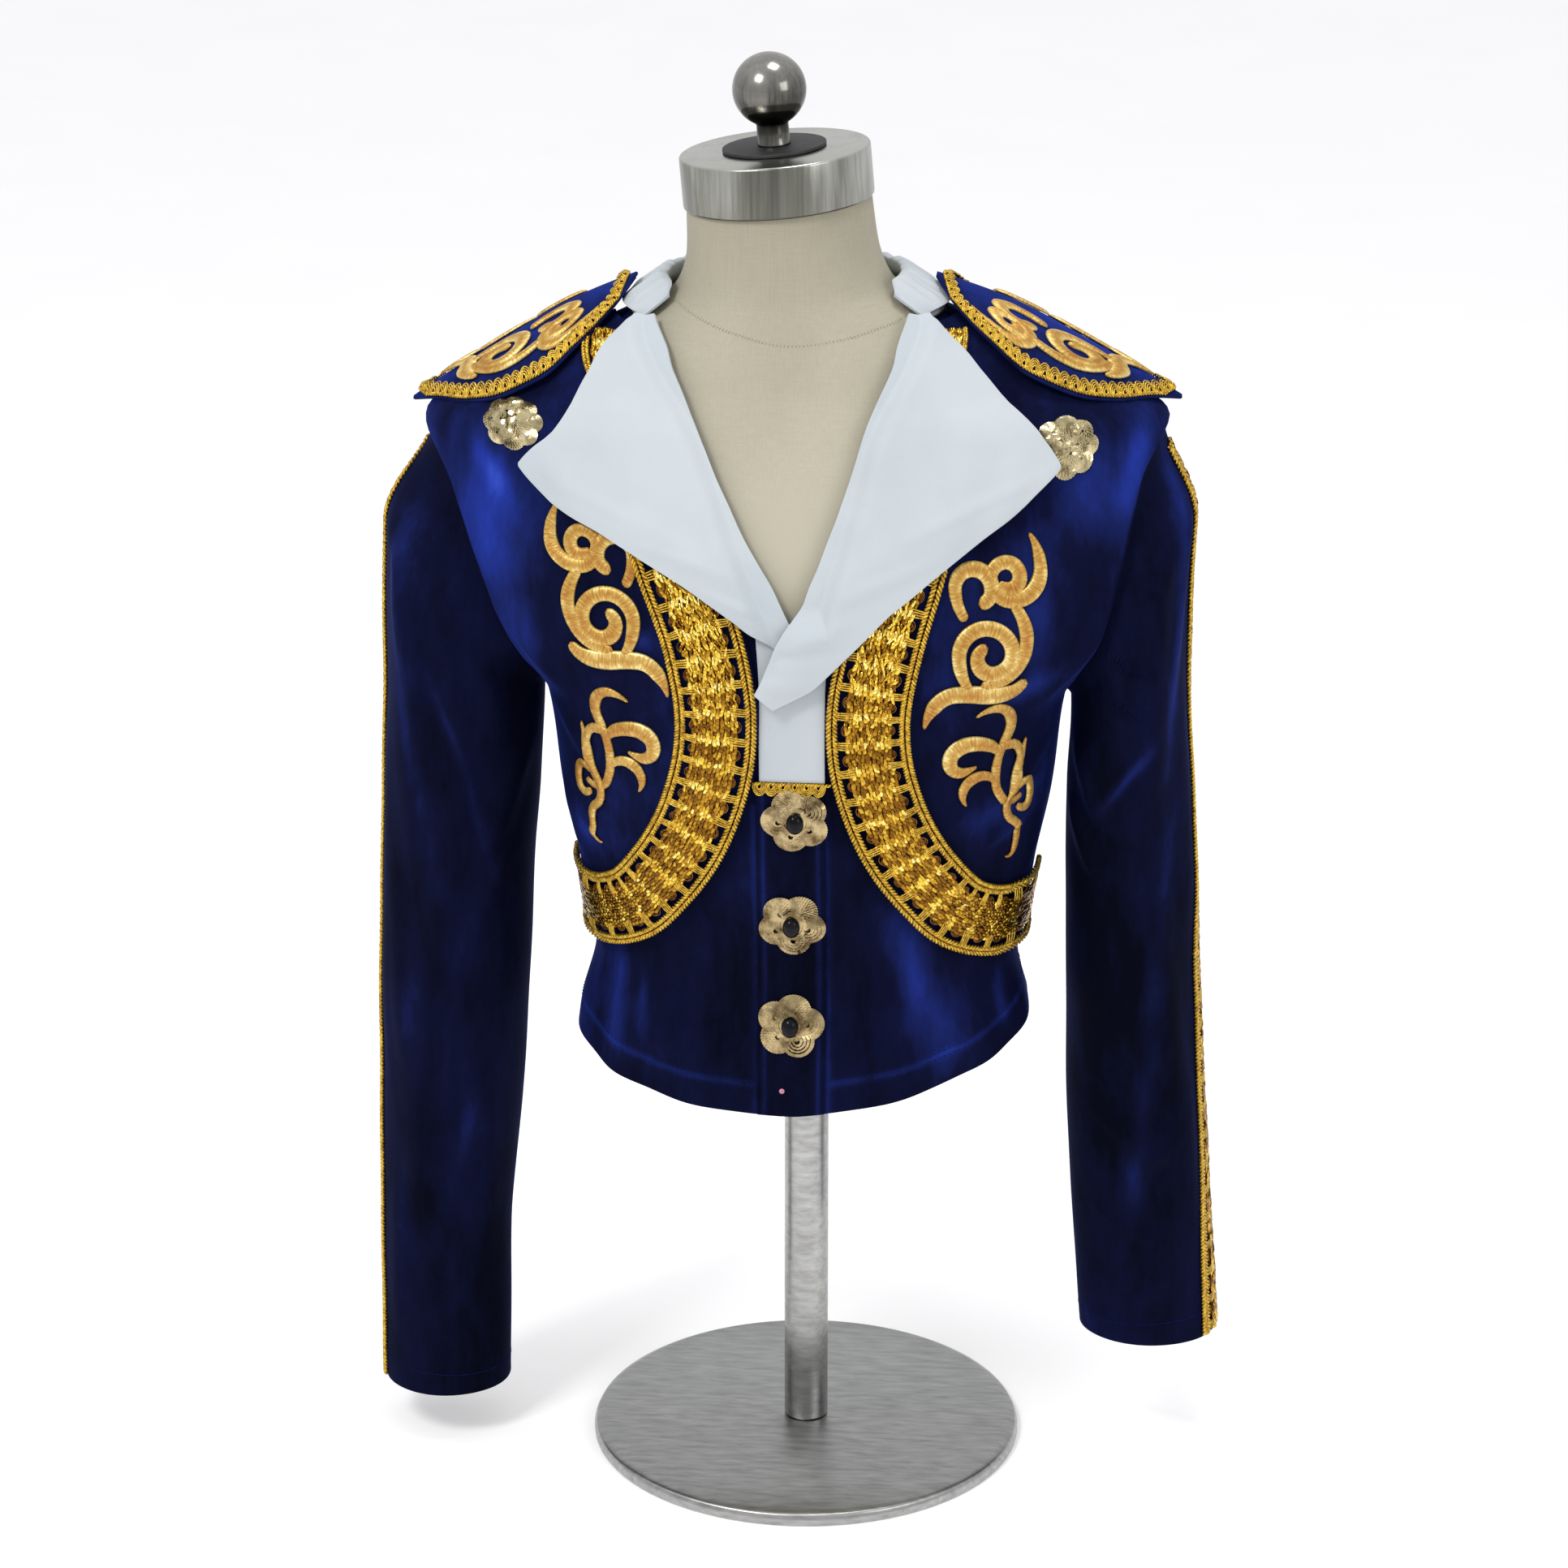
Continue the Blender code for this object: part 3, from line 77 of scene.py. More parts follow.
SHOULDER_TILT, TILT_OVER = 0.022, 110.0
# Armhole: height, cut back from the side line in front and behind
ARMHOLE = ((515, 0, 0), (522, 14, 12), (535, 38, 33), (555, 57, 52), (590, 63, 60), (620, 57, 57),
           (650, 44, 46), (670, 23, 26), (684, 0, 0))
NECKLINE = ((556, 0.3), (580, 12), (600, 21), (640, 43), (690, 60), (740, 74), (780, 84), (815, 96))
BOLERO_EDGE = ((100, 808), (90, 776), (76, 730), (62, 680), (45, 628), (27, 572), (20, 530), (21, 500),
               (28, 468), (41, 434), (60, 403), (86, 374), (113, 360), (148, 354), (179, 356))
# Lapels: roll edge and outer edge, across and up
LAPEL = {
    1: ((86, 815, 100, 812), (70, 785, 103, 786), (61, 752, 115, 752), (51, 712, 131, 714),
        (42, 675, 148, 689), (31, 648, 160, 666), (23, 630, 139, 649), (17, 616, 112, 630),
        (11, 604, 84, 610), (5, 588, 57, 590), (-1, 571, 34, 568), (-7, 555, 13, 550), (-12, 542, -11, 538)),
    -1: ((86, 815, 100, 812), (68, 785, 105, 786), (60, 752, 113, 752), (53, 712, 127, 714),
         (45, 675, 141, 690), (33, 648, 160, 667), (25, 630, 139, 649), (17, 616, 112, 634),
         (10, 604, 84, 617), (3, 588, 57, 602), (-4, 574, 34, 587), (-9, 561, 13, 571), (-14, 549, -10, 554)),
}
# Sleeves: height, inner and outer side from the middle plane, middle y, half depth
SLEEVE = {
    1: ((80, 177, 264, 10, 38), (150, 171, 258, 9, 41), (240, 165, 251, 7, 46), (330, 163, 245, 5, 51),
        (410, 161, 240, 3, 56), (455, 161, 237, 2, 58), (500, 163, 234, 0, 59), (560, 160, 233, -1, 60),
        (620, 159, 234, -1, 58), (660, 162, 236, 0, 48), (690, 170, 236, 0, 30)),
    -1: ((33, 193, 274, -8, 38), (140, 191, 273, -6, 41), (228, 182, 271, -4, 46), (316, 176, 268, -3, 51),
         (400, 171, 264, -2, 56), (444, 167, 262, -2, 58), (500, 164, 261, -1, 60), (560, 163, 260, 0, 62),
         (620, 160, 258, 0, 60), (660, 163, 256, 0, 50), (690, 172, 248, 0, 30)),
}
SLEEVE_HEAD_DROP, SEAM_INSET, SEAM_REACH = 0.09, 0.6, 0.012
SLEEVE_MIDDLE, SLEEVE_MIDDLE_UP = 184.0, 600.0
ARMHOLE_UPS = (684, 670, 650, 620, 590, 555, 535, 522, 515)
# Folds of the body: across and up at the foot and at the top, half width, height
BODY_FOLDS = (
    (60, 262, 78, 372, 24, 5.5), (122, 280, 114, 343, 19, 4.5), (160, 292, 157, 343, 18, 3.5),
    (-64, 264, -80, 366, 22, 4.5), (-116, 278, -109, 343, 19, 5.0), (-160, 292, -157, 343, 18, 3.0),
    (238, 296, 242, 400, 22, 4.0), (296, 292, 306, 420, 24, 4.5), (-238, 296, -242, 410, 22, 4.0),
    (-300, 292, -308, 400, 24, 4.5),
)
# Creases that fade at both ends, each swaying a little
CREASE_SWAY = 6.0
BODY_CREASES = (
    (-128, 572, -196, 668, 13, 3.4), (-112, 604, -150, 690, 10, 2.0), (-150, 520, -196, 590, 9, 2.6),
    (-118, 470, -174, 520, 9, 2.4), (-96, 420, -160, 446, 8, 2.0), (-150, 400, -176, 470, 8, 2.2),
    (124, 560, 190, 660, 13, 3.0), (104, 600, 140, 700, 10, 1.8), (140, 512, 198, 596, 9, 2.8),
    (96, 452, 172, 500, 9, 3.0), (88, 428, 168, 462, 7, 2.4), (146, 388, 172, 452, 8, 2.0),
    (30, 270, 36, 420, 9, 1.8), (-34, 268, -40, 410, 8, 1.4), (84, 276, 110, 330, 9, 2.4),
    (-88, 276, -84, 350, 8, 2.0), (-132, 300, -100, 372, 7, 1.8), (140, 300, 120, 366, 7, 1.8),
    (250, 420, 230, 560, 16, 2.6), (-250, 420, -230, 560, 16, 2.6), (300, 340, 290, 480, 18, 2.4),
    (-300, 340, -290, 480, 18, 2.4), (270, 610, 330, 660, 14, 1.8), (-270, 610, -330, 660, 14, 1.8),
)
# Folds of a sleeve: turn round it and height at each end, half width, height
SLEEVE_FOLDS = {
    1: ((-60, 640, -72, 420, 13, 5.0), (-72, 430, -48, 150, 12, 5.0), (-150, 500, -100, 430, 10, 5.0),
        (-155, 455, -105, 395, 9, 4.0), (-110, 330, -66, 270, 10, 4.0), (-120, 250, -60, 205, 10, 4.0),
        (-30, 560, -24, 330, 12, 3.0), (70, 620, 84, 300, 14, 4.0), (140, 480, 100, 400, 11, 4.0),
        (-96, 560, -120, 440, 7, 2.6), (-84, 300, -110, 120, 8, 2.4), (-40, 300, -36, 130, 8, 2.2),
        (-128, 562, -62, 538, 6, 4.0), (-124, 532, -72, 512, 5, 2.8), (-11, 680, -51, 503, 6, 3.0),
        (-128, 400, -78, 350, 6, 2.4), (-60, 230, -100, 190, 6, 2.0), (110, 300, 100, 120, 10, 2.6),
        (-134, 180, -70, 150, 6, 1.8)),
    -1: ((-52, 640, -60, 380, 14, 5.0), (-98, 560, -84, 300, 12, 4.0), (-150, 490, -112, 400, 10, 4.5),
         (-62, 360, -80, 120, 13, 3.5), (-120, 300, -130, 120, 12, 3.5), (-24, 520, -30, 240, 12, 3.0),
         (66, 620, 80, 300, 14, 4.0), (130, 480, 96, 380, 11, 4.0), (-74, 600, -100, 470, 7, 2.4),
         (-40, 420, -56, 250, 7, 2.2), (-140, 420, -100, 340, 7, 2.6), (-100, 260, -66, 180, 7, 2.0),
         (-50, 200, -48, 60, 9, 2.0), (100, 280, 110, 80, 10, 2.6), (-70, 598, -104, 552, 6, 3.4),
         (-100, 562, -130, 480, 6, 3.4), (-30, 664, -80, 443, 6, 2.8)),
}
# Shoulder wing: distance of each rib from the middle, height, half depth, drop at its edges
WING = ((90, 769, 4, 1.5), (101, 764.5, 22, 9.5), (121, 756, 40, 19.5), (145, 744, 51, 27),
        (169, 730, 47, 25), (193, 716, 34, 18), (215, 703, 15, 8), (232, 692, 2, 1))
WING_RAISE, WING_RAISE_OVER = {1: 1.8, -1: 0.6}, 60.0
WING_THICK, WING_ARCH = 1.6, 1.8


def unit_rows(vectors):
    return vectors / np.linalg.norm(vectors, axis=-1, keepdims=True)


def spread(*values):
    return np.broadcast_arrays(*(np.asarray(value, float) for value in values))


def distances(points):
    """How far each point lies along the line through them all."""
    return np.concatenate([[0], np.cumsum(np.linalg.norm(np.diff(points, axis=0), axis=1))])


def hermite(t, step, start, end, start_slope, end_slope):
    """The smooth curve between two knots, at the share t of the step from one to the other."""
    return ((1 + 2 * t) * (1 - t) ** 2 * start + t * (1 - t) ** 2 * step * start_slope
            + t * t * (3 - 2 * t) * end + t * t * (t - 1) * step * end_slope)


def smooth(table):
    """A function that reads a smooth, never overshooting curve through a table's rows."""
    rows = np.array(sorted(table), float)
    at, values = rows[:, 0], rows[:, 1:]
    step = np.diff(at)[:, None]
    rise = np.diff(values, axis=0) / step
    slope = np.zeros_like(values)
    slope[0], slope[-1] = rise[0], rise[-1]
    with np.errstate(divide="ignore", invalid="ignore"):
        mean = (step[:-1] + step[1:]) * 3
        harmonic = mean / ((2 * step[1:] + step[:-1]) / rise[:-1] + (step[1:] + 2 * step[:-1]) / rise[1:])
    slope[1:-1] = np.where(rise[:-1] * rise[1:] > 0, harmonic, 0)

    def read(x):
        x = np.clip(np.asarray(x, float), at[0], at[-1])
        i = np.clip(np.searchsorted(at, x, side="right") - 1, 0, len(at) - 2)
        t = ((x - at[i]) / step[i][..., 0])[..., None]
        return np.moveaxis(hermite(t, step[i], values[i], values[i + 1], slope[i], slope[i + 1]), -1, 0)
    return read


torso_at, armhole_at, neckline_at, wing_at = smooth(TORSO), smooth(ARMHOLE), smooth(NECKLINE), smooth(WING)
sleeve_at = {hand: smooth(SLEEVE[hand]) for hand in (1, -1)}
CUFF = {hand: float(SLEEVE[hand][0][0]) for hand in (1, -1)}


def ease(t):
    t = np.clip(t, 0.0, 1.0)
    return t * t * (3 - 2 * t)


def lean(z):
    rise = np.clip(np.asarray(z, float) - LEAN_FROM, 0, None)
    return -LEAN * rise * rise / (rise + 40.0)


def leaned(x, y, z):
    """Points of an upright body with the lean and the tilt of the shoulders."""
    tilt = SHOULDER_TILT * x * ease((z - LEAN_FROM) / TILT_OVER)
    return np.stack([x + lean(z), y, z + tilt], axis=-1)


def ring(turn, up, inside=0.0):
    """Points on the half of the body at +X before it leans: turn -90 degrees is the front."""
    z, half_width, front, back, middle, roundness, form_half_width = torso_at(up)
    power = 2.0 / roundness
    c, s = np.cos(turn), np.sin(turn)
    if inside:
        half_width, front, back = form_half_width, front - inside, back - inside
    x = half_width * np.abs(c) ** power * np.sign(c)
    y = middle + np.where(s < 0, front, back) * np.sign(s) * np.abs(s) ** power
    return np.stack([x, y, z + 0 * x], axis=-1)


GIRTH_TURNS = np.radians(np.linspace(-90, 90, 721))
GIRTH_UPS = np.linspace(TORSO[0][0], TORSO[-1][0], 325)
GIRTHS = np.array([distances(ring(GIRTH_TURNS, up)) for up in GIRTH_UPS])
SHARES = np.linspace(0, 1, 1441)
TURNS = np.array([np.interp(SHARES, row / row[-1], GIRTH_TURNS) for row in GIRTHS])


def side(up):
    return np.interp(up, GIRTH_UPS, GIRTHS[:, len(GIRTH_TURNS) // 2])


def half_round(up):
    return np.interp(up, GIRTH_UPS, GIRTHS[:, -1])


def turn_at(across, up):
    """Turn round the body at a distance from the centre front."""
    u = np.clip((up - GIRTH_UPS[0]) / (GIRTH_UPS[1] - GIRTH_UPS[0]), 0, len(GIRTH_UPS) - 1.001)
    v = np.clip(across / half_round(up), 0, 0.9999) * (len(SHARES) - 1)
    i, j = u.astype(int), v.astype(int)
    a, b = u - i, v - j
    low = TURNS[i, j] * (1 - b) + TURNS[i, j + 1] * b
    return low * (1 - a) + (TURNS[i + 1, j] * (1 - b) + TURNS[i + 1, j + 1] * b) * a


def folds(across, up):
    """How far folds and creases push the cloth of the body out."""
    out = 0.25 * (1 + np.sin(across / 17.0 + up / 41.0) * np.sin(up / 23.0 - across / 55.0))
    for table, fades_twice in ((BODY_FOLDS, False), (BODY_CREASES, True)):
        for x0, y0, x1, y1, width, height in table:
            t = (up - y0) / (y1 - y0)
            middle = x0 + (x1 - x0) * t
            if fades_twice:
                middle = middle + CREASE_SWAY * np.sin(t * 3)
                fade = ease(t * 2.5) * ease((1 - t) * 2.5)
            else:
                fade = np.where(t < 1, ease((1 - t) * 1.6), 0)
            out = out + height * fade * np.exp(-((across - middle) / width) ** 2)
    return out


def cloth(across, up, out=0.0):
    """Points on the tunic's body, out from its surface."""
    across, up = spread(across, up)
    sign = np.where(across >= 0, 1.0, -1.0)
    turn = turn_at(np.abs(across), up)
    around = ring(turn + 0.02, up) - ring(turn - 0.02, up)
    normal = unit_rows(np.cross(around, ring(turn, up + 1.5) - ring(turn, up - 1.5)))
    point = ring(turn, up) + normal * (out + folds(across, up))[..., None]
    return leaned(sign * point[..., 0], point[..., 1], point[..., 2])


def armhole_edge(up, behind=False):
    """Distance of the armhole or side seam from the centre front."""
    front_cut, back_cut = armhole_at(up)
    inside = (up > UNDERARM) & (up < SHOULDER_POINT)
    return side(up) + np.where(inside, back_cut if behind else -front_cut, 0.0)


def sleeve_ring(hand, turn, z, out=0.0):
    """Points on a sleeve's outer face: turn 0 is its outer side, -90 degrees its front."""
    inner, outer, middle_y, half_depth = sleeve_at[hand](z)
    half_width = (outer - inner) / 2
    out = out + 0.3 * np.sin(z / 19.0 + turn * 3) * np.sin(z / 47.0 - turn * 2)
    for a0, z0, a1, z1, width, height in SLEEVE_FOLDS[hand]:
        t = (z - z0) / (z1 - z0)
        away = (np.degrees(turn) - (a0 + (a1 - a0) * t) + 180) % 360 - 180
        fade = np.where((t > 0) & (t < 1), ease(t * 3) * ease((1 - t) * 3), 0)
        out = out + height * fade * np.exp(-(away / width / 1.4) ** 2)
    nx, ny = np.cos(turn) / half_width, np.sin(turn) / half_depth
    size = np.hypot(nx, ny)
    x = (inner + outer) / 2 + half_width * np.cos(turn) + out * nx / size
    y = middle_y + half_depth * np.sin(turn) + out * ny / size
    return np.stack([hand * x, y, z + 0 * x], axis=-1)


def sleeve_cloth(hand, turn, drop, out=0.0):
    """Points on a sleeve, drop from 0 at its head's seam to 1 at its cuff."""
    turn, drop = spread(turn, drop)
    back_turn = (-turn) % (2 * math.pi)
    behind = back_turn > math.pi
    column = np.where(behind, 2 * math.pi - back_turn, back_turn) / math.pi * (len(ARMHOLE_UPS) - 1)
    up = np.interp(column, range(len(ARMHOLE_UPS)), ARMHOLE_UPS)
    edge = np.where(behind, armhole_edge(up, True), armhole_edge(up))
    start = cloth(hand * edge, up, CLOTH)
    middle = np.array([hand * SLEEVE_MIDDLE, 0.0, SLEEVE_MIDDLE_UP])
    start = start + unit_rows(middle - start) * SEAM_INSET
    z = start[..., 2] + (CUFF[hand] - start[..., 2]) * drop
    target = sleeve_ring(hand, turn, z, out)
    blend = ease(drop / (SEAM_REACH + SLEEVE_HEAD_DROP * np.cos(turn / 2) ** 2))[..., None]
    flat = start[..., :2] + (target[..., :2] - start[..., :2]) * blend
    return np.concatenate([flat, z[..., None]], axis=-1)


def wing_cloth(hand, along, across, out=0.0):
    """Points on a shoulder wing: along from the middle, across from -1, its front edge, to 1."""
    along, across = spread(along, across)

    def place(a, c):
        height, half_depth, drop = wing_at(a)
        height = height + WING_RAISE[hand] * ease((a - WING[0][0]) / WING_RAISE_OVER)
        return np.stack([a, half_depth * c, height - drop * np.abs(c) ** WING_ARCH], axis=-1)
    normal = unit_rows(np.cross(place(along + 0.5, across) - place(along - 0.5, across),
                                place(along, across + 0.02) - place(along, across - 0.02)))
    point = place(along, across) + normal * np.asarray(out)[..., None]
    return leaned(hand * point[..., 0], point[..., 1], point[..., 2])


def along_path(points, samples=800):
    """A smooth path through points: a function from distance to place and way, its line and distances."""
    points = np.array(points, float)
    knots = distances(points)
    slopes = np.gradient(points, knots, axis=0)
    x = np.linspace(0, knots[-1], samples)
    i = np.clip(np.searchsorted(knots, x, side="right") - 1, 0, len(knots) - 2)
    step = (knots[i + 1] - knots[i])[:, None]
    t = ((x - knots[i]) / step[:, 0])[:, None]
    line = hermite(t, step, points[i], points[i + 1], slopes[i], slopes[i + 1])
    lengths = distances(line)

    def here(distance):
        return np.stack([np.interp(distance, lengths, line[:, k]) for k in (0, 1)], axis=-1)

    def at(distance):
        distance = np.clip(distance, 0, lengths[-1])
        return here(distance), unit_rows(here(distance + 2) - here(distance - 2))
    return at, line, lengths


edge_at, edge_line, edge_lengths = along_path(BOLERO_EDGE)
falling = edge_line[:np.argmin(edge_line[:, 1])]


def edge_across(up):
    return np.interp(-np.asarray(up, float), -falling[:, 1], falling[:, 0])


def edge_distance(up):
    return float(np.interp(-up, -falling[:, 1], edge_lengths[:len(falling)]))


# Materials

def new_material(name, roughness, metallic=0.0, **sockets):
    """A named material with its shader's constant values; returns it, its tree and its shader."""
    material = bpy.data.materials.new(name)
    material.use_nodes = True
    tree = material.node_tree
    shader = tree.nodes["Principled BSDF"]
    for socket, value in {"Roughness": roughness, "Metallic": metallic, **sockets}.items():
        shader.inputs[socket.replace("_", " ")].default_value = value
    return material, tree, shader


def node(tree, kind, links=None, **values):
    """Add a node, set its properties or unlinked sockets, and link other nodes' sockets to it."""
    made = tree.nodes.new(kind)
    for key, value in values.items():
        if hasattr(made, key):
            setattr(made, key, value)
        else:
            made.inputs[key].default_value = value
    for socket, source in (links or {}).items():
        tree.links.new(source, made.inputs[socket])
    return made


def noise(tree, place, scale, stretch=(1, 1, 1), detail=3.0, rough=0.5):
    """Noise on stretched coordinates, for grain, slubs and nap."""
    turned_place = node(tree, "ShaderNodeMapping", {"Vector": place}, Scale=stretch)
    return node(tree, "ShaderNodeTexNoise", {"Vector": turned_place.outputs[0]}, Scale=scale, Detail=detail,
                Roughness=rough).outputs["Fac"]


def object_noise(tree, *settings):
    return noise(tree, node(tree, "ShaderNodeTexCoord").outputs["Object"], *settings)


def attribute(tree, name):
    return node(tree, "ShaderNodeAttribute", attribute_name=name).outputs["Fac"]


def part_of(tree, vector, axis):
    return node(tree, "ShaderNodeSeparateXYZ", {0: vector}).outputs[axis]


def weighted(tree, offset, *parts):
    """The sum of sockets, each times its weight, and an offset."""
    total = None
    for socket, weight in parts:
        step = node(tree, "ShaderNodeMath", {0: socket}, operation="MULTIPLY_ADD")
        step.inputs[1].default_value, step.inputs[2].default_value = weight, offset
        if total:
            tree.links.new(total, step.inputs[2])
        total = step.outputs[0]
    return total


def tint(tree, shader, source, *stops):
    """Colour the shader by a ramp with these stops."""
    made = node(tree, "ShaderNodeValToRGB", {"Fac": source})
    while len(made.color_ramp.elements) < len(stops):
        made.color_ramp.elements.new(0.5)
    for element, (place, colour) in zip(made.color_ramp.elements, stops):
        element.position = place
        element.color = (*colour, 1.0)
    tree.links.new(made.outputs[0], shader.inputs["Base Color"])


def bumps(tree, shader, *layers):
    """Bump the shader by heights, each with its strength and distance, one over the other."""
    below = {}
    for height, strength, distance in layers:
        made = node(tree, "ShaderNodeBump", {"Height": height, **below}, Strength=strength, Distance=distance)
        below = {"Normal": made.outputs[0]}
    tree.links.new(made.outputs[0], shader.inputs["Normal"])


def velvet_material(name, sheen):
    """Pile velvet: soft clouds of random tone and the piece's attribute of painted highlights and shade take
    it from near black to royal blue.
    """
    material, tree, shader = new_material(
        name, 0.8, Sheen_Weight=sheen, Sheen_Roughness=0.3, Sheen_Tint=(0.05, 0.10, 0.62, 1),
        Specular_IOR_Level=0.03, Specular_Tint=(0.12, 0.22, 1.0, 1))
    cloud = object_noise(tree, 8.0, (1, 1, 0.5), 5.0, 0.62)
    brushed = object_noise(tree, 34.0, (1, 1, 0.35), 6.0, 0.68)
    # The attribute read here is painted light: painted highlights and painted shade laid on each piece; the
    # clouds are random tone.
    total = weighted(tree, -0.185, (cloud, 0.7), (brushed, 0.5), (attribute(tree, "painted_light"), 1.0))
    tint(tree, shader, total, (0.22, (0.0022, 0.0025, 0.0065)), (0.42, (0.0045, 0.0058, 0.026)),
         (0.60, (0.0085, 0.0150, 0.095)), (0.80, (0.014, 0.030, 0.245)), (1.0, (0.033, 0.070, 0.45)))
    pile = object_noise(tree, 1400.0, (1, 1, 0.4), 2.0)
    bumps(tree, shader, (pile, 0.25, 0.0005), (brushed, 0.2, 0.002))
    return material


def white_material():
    material, tree, shader = new_material(
        "white_jersey", 0.75, Sheen_Weight=0.1, Sheen_Roughness=0.5, Specular_IOR_Level=0.2)
    patch = object_noise(tree, 14.0, (1, 1, 1), 4.0)
    tint(tree, shader, patch, (0.3, (0.425, 0.465, 0.495)), (0.7, (0.48, 0.515, 0.54)))
    knit = object_noise(tree, 1500.0, (1, 1, 0.5), 2.0)
    soft = object_noise(tree, 45.0, (1, 1, 0.7), 3.0)
    bumps(tree, shader, (knit, 0.2, 0.0004), (soft, 0.25, 0.003))
    return material


def linen_material():
    """Fine plain weave, with painted shade that darkens it up the neck."""
    material, tree, shader = new_material("linen_cover", 0.9, Sheen_Weight=0.1, Specular_IOR_Level=0.2)
    weft = object_noise(tree, 620.0, (0.12, 0.12, 2.0), 3.0, 0.6)
    warp = object_noise(tree, 620.0, (1.6, 1.6, 0.06), 3.0, 0.6)
    patch = object_noise(tree, 14.0, (1, 1, 0.5), 3.0)
    # Painted shade: the cloth darkens with height, up the neck.
    height = part_of(tree, node(tree, "ShaderNodeTexCoord").outputs["Object"], "Z")
    total = weighted(tree, 1.86, (weft, 0.16), (warp, 0.22), (patch, 0.34), (height, -2.1))
    tint(tree, shader, total, (0.20, (0.235, 0.215, 0.155)), (0.50, (0.315, 0.29, 0.215)),
         (0.85, (0.43, 0.40, 0.31)))
    bumps(tree, shader, (weighted(tree, 0.0, (weft, 0.5), (warp, 0.5)), 0.3, 0.0004))
    return material


def grained_material(name, bright, dark, roughness, metallic, grain, strength, shine=0.5):
    """Thread, sequins, beads and paint: colour and bump vary in small patches."""
    material, tree, shader = new_material(name, roughness, metallic, Specular_IOR_Level=shine)
    patch = object_noise(tree, grain, (1, 1, 1), 3.0, 0.6)
    tint(tree, shader, patch, (0.32, dark), (0.62, bright))
    thread = object_noise(tree, grain * 7, (1, 1, 1), 2.0)
    bumps(tree, shader, (thread, strength, 0.0004))
    return material


def tinsel_material():
    """Metal-thread floats: bright yellow to brown by the piece's own light attribute."""
    material, tree, shader = new_material("gold_tinsel", 0.27, 0.95)
    grain = object_noise(tree, 420.0, (1, 1, 1), 2.0)
    total = weighted(tree, -0.25, (grain, 0.5), (attribute(tree, "light"), 1.0))
    tint(tree, shader, total, (0.05, (0.20, 0.085, 0.008)), (0.40, (0.50, 0.265, 0.022)),
         (0.68, (0.88, 0.60, 0.07)), (1.0, (1.0, 0.84, 0.27)))
    bumps(tree, shader, (grain, 0.3, 0.0003))
    return material


def stitch_material():
    """Satin stitch: threads run over the band, light at its edges and bronze in its core."""
    material, tree, shader = new_material("gold_satin_stitch", 0.4, 0.45)
    place = node(tree, "ShaderNodeUVMap", uv_map="UVMap").outputs[0]
    away = node(tree, "ShaderNodeMath", {0: part_of(tree, place, "Y")}, operation="ABSOLUTE").outputs[0]
    patch = object_noise(tree, 60.0, (1, 1, 1), 3.0, 0.6)
    thread = noise(tree, place, 900.0, (1, 0.0012, 1), 2.0)
    total = weighted(tree, -0.62, (away, 0.42), (thread, 1.1), (patch, 1.0))
    tint(tree, shader, total, (0.16, (0.34, 0.115, 0.012)), (0.46, (0.45, 0.23, 0.036)),
         (0.74, (0.58, 0.38, 0.095)), (1.0, (0.88, 0.70, 0.30)))
    bumps(tree, shader, (thread, 0.6, 0.0006))
    return material


def brushed_material(name, colour, roughness, stretch, strength):
    """Metal with fine marks of brushing, darker and brighter than its colour."""
    material, tree, shader = new_material(name, roughness, 1.0, Anisotropic=0.6)
    streak = object_noise(tree, 240.0, stretch, 4.0, 0.6)
    tint(tree, shader, streak, (0.3, tuple(c * 0.75 for c in colour)), (0.7, tuple(c * 1.15 for c in colour)))
    bumps(tree, shader, (streak, strength, 0.0002))
    return material


def polished_material(name, roughness, *stops):
    """Metal with painted reflection: darker on faces that turn down than on faces that turn up, with long
    upright bands of painted reflection and fine polishing marks.
    """
    material, tree, shader = new_material(name, roughness, 1.0)
    # Painted reflection: upward faces lighter, downward faces darker, and long upright noise bands as
    # reflection streaks.
    upward = part_of(tree, node(tree, "ShaderNodeNewGeometry").outputs["Normal"], "Z")
    painted_reflection_bands = object_noise(tree, 26.0, (1, 1, 0.03), 3.0, 0.6)
    streak = object_noise(tree, 420.0, (1, 1, 0.04), 3.0)
    tint(tree, shader, weighted(tree, -0.12, (upward, 0.42), (painted_reflection_bands, 0.95), (streak, 0.3)), *stops)
    bumps(tree, shader, (streak, 0.08, 0.0002))
    return material


velvet = velvet_material("blue_velvet", 0.34)
velvet_down = velvet_material("blue_velvet_nap_down", 0.16)
white = white_material()
linen = linen_material()
tinsel = tinsel_material()
stitch = stitch_material()
cord_gold = grained_material("gold_cord", (0.80, 0.53, 0.070), (0.30, 0.155, 0.015), 0.31, 0.85, 420.0, 0.6)
amber = grained_material("amber_thread", (0.36, 0.15, 0.014), (0.11, 0.038, 0.004), 0.4, 0.7, 260.0, 0.4)
sequin_gold = grained_material(
    "antique_sequins", (0.50, 0.385, 0.20), (0.11, 0.07, 0.026), 0.22, 0.9, 105.0, 0.1)
sequin_pale = grained_material("pale_sequins", (0.66, 0.56, 0.33), (0.24, 0.19, 0.09), 0.22, 0.9, 120.0, 0.1)
bead_black = grained_material(
    "black_bead", (0.005, 0.005, 0.007), (0.002, 0.002, 0.0025), 0.12, 0.0, 90.0, 0.05, 0.15)
rubber = grained_material("black_rubber", (0.014, 0.014, 0.015), (0.006, 0.006, 0.007), 0.55, 0.0, 140.0, 0.2)
cap_metal = polished_material(
    "brushed_cap", 0.26, (0.30, (0.10, 0.10, 0.085)), (0.52, (0.21, 0.21, 0.18)), (0.72, (0.42, 0.42, 0.39)),
    (0.95, (0.55, 0.55, 0.50)))
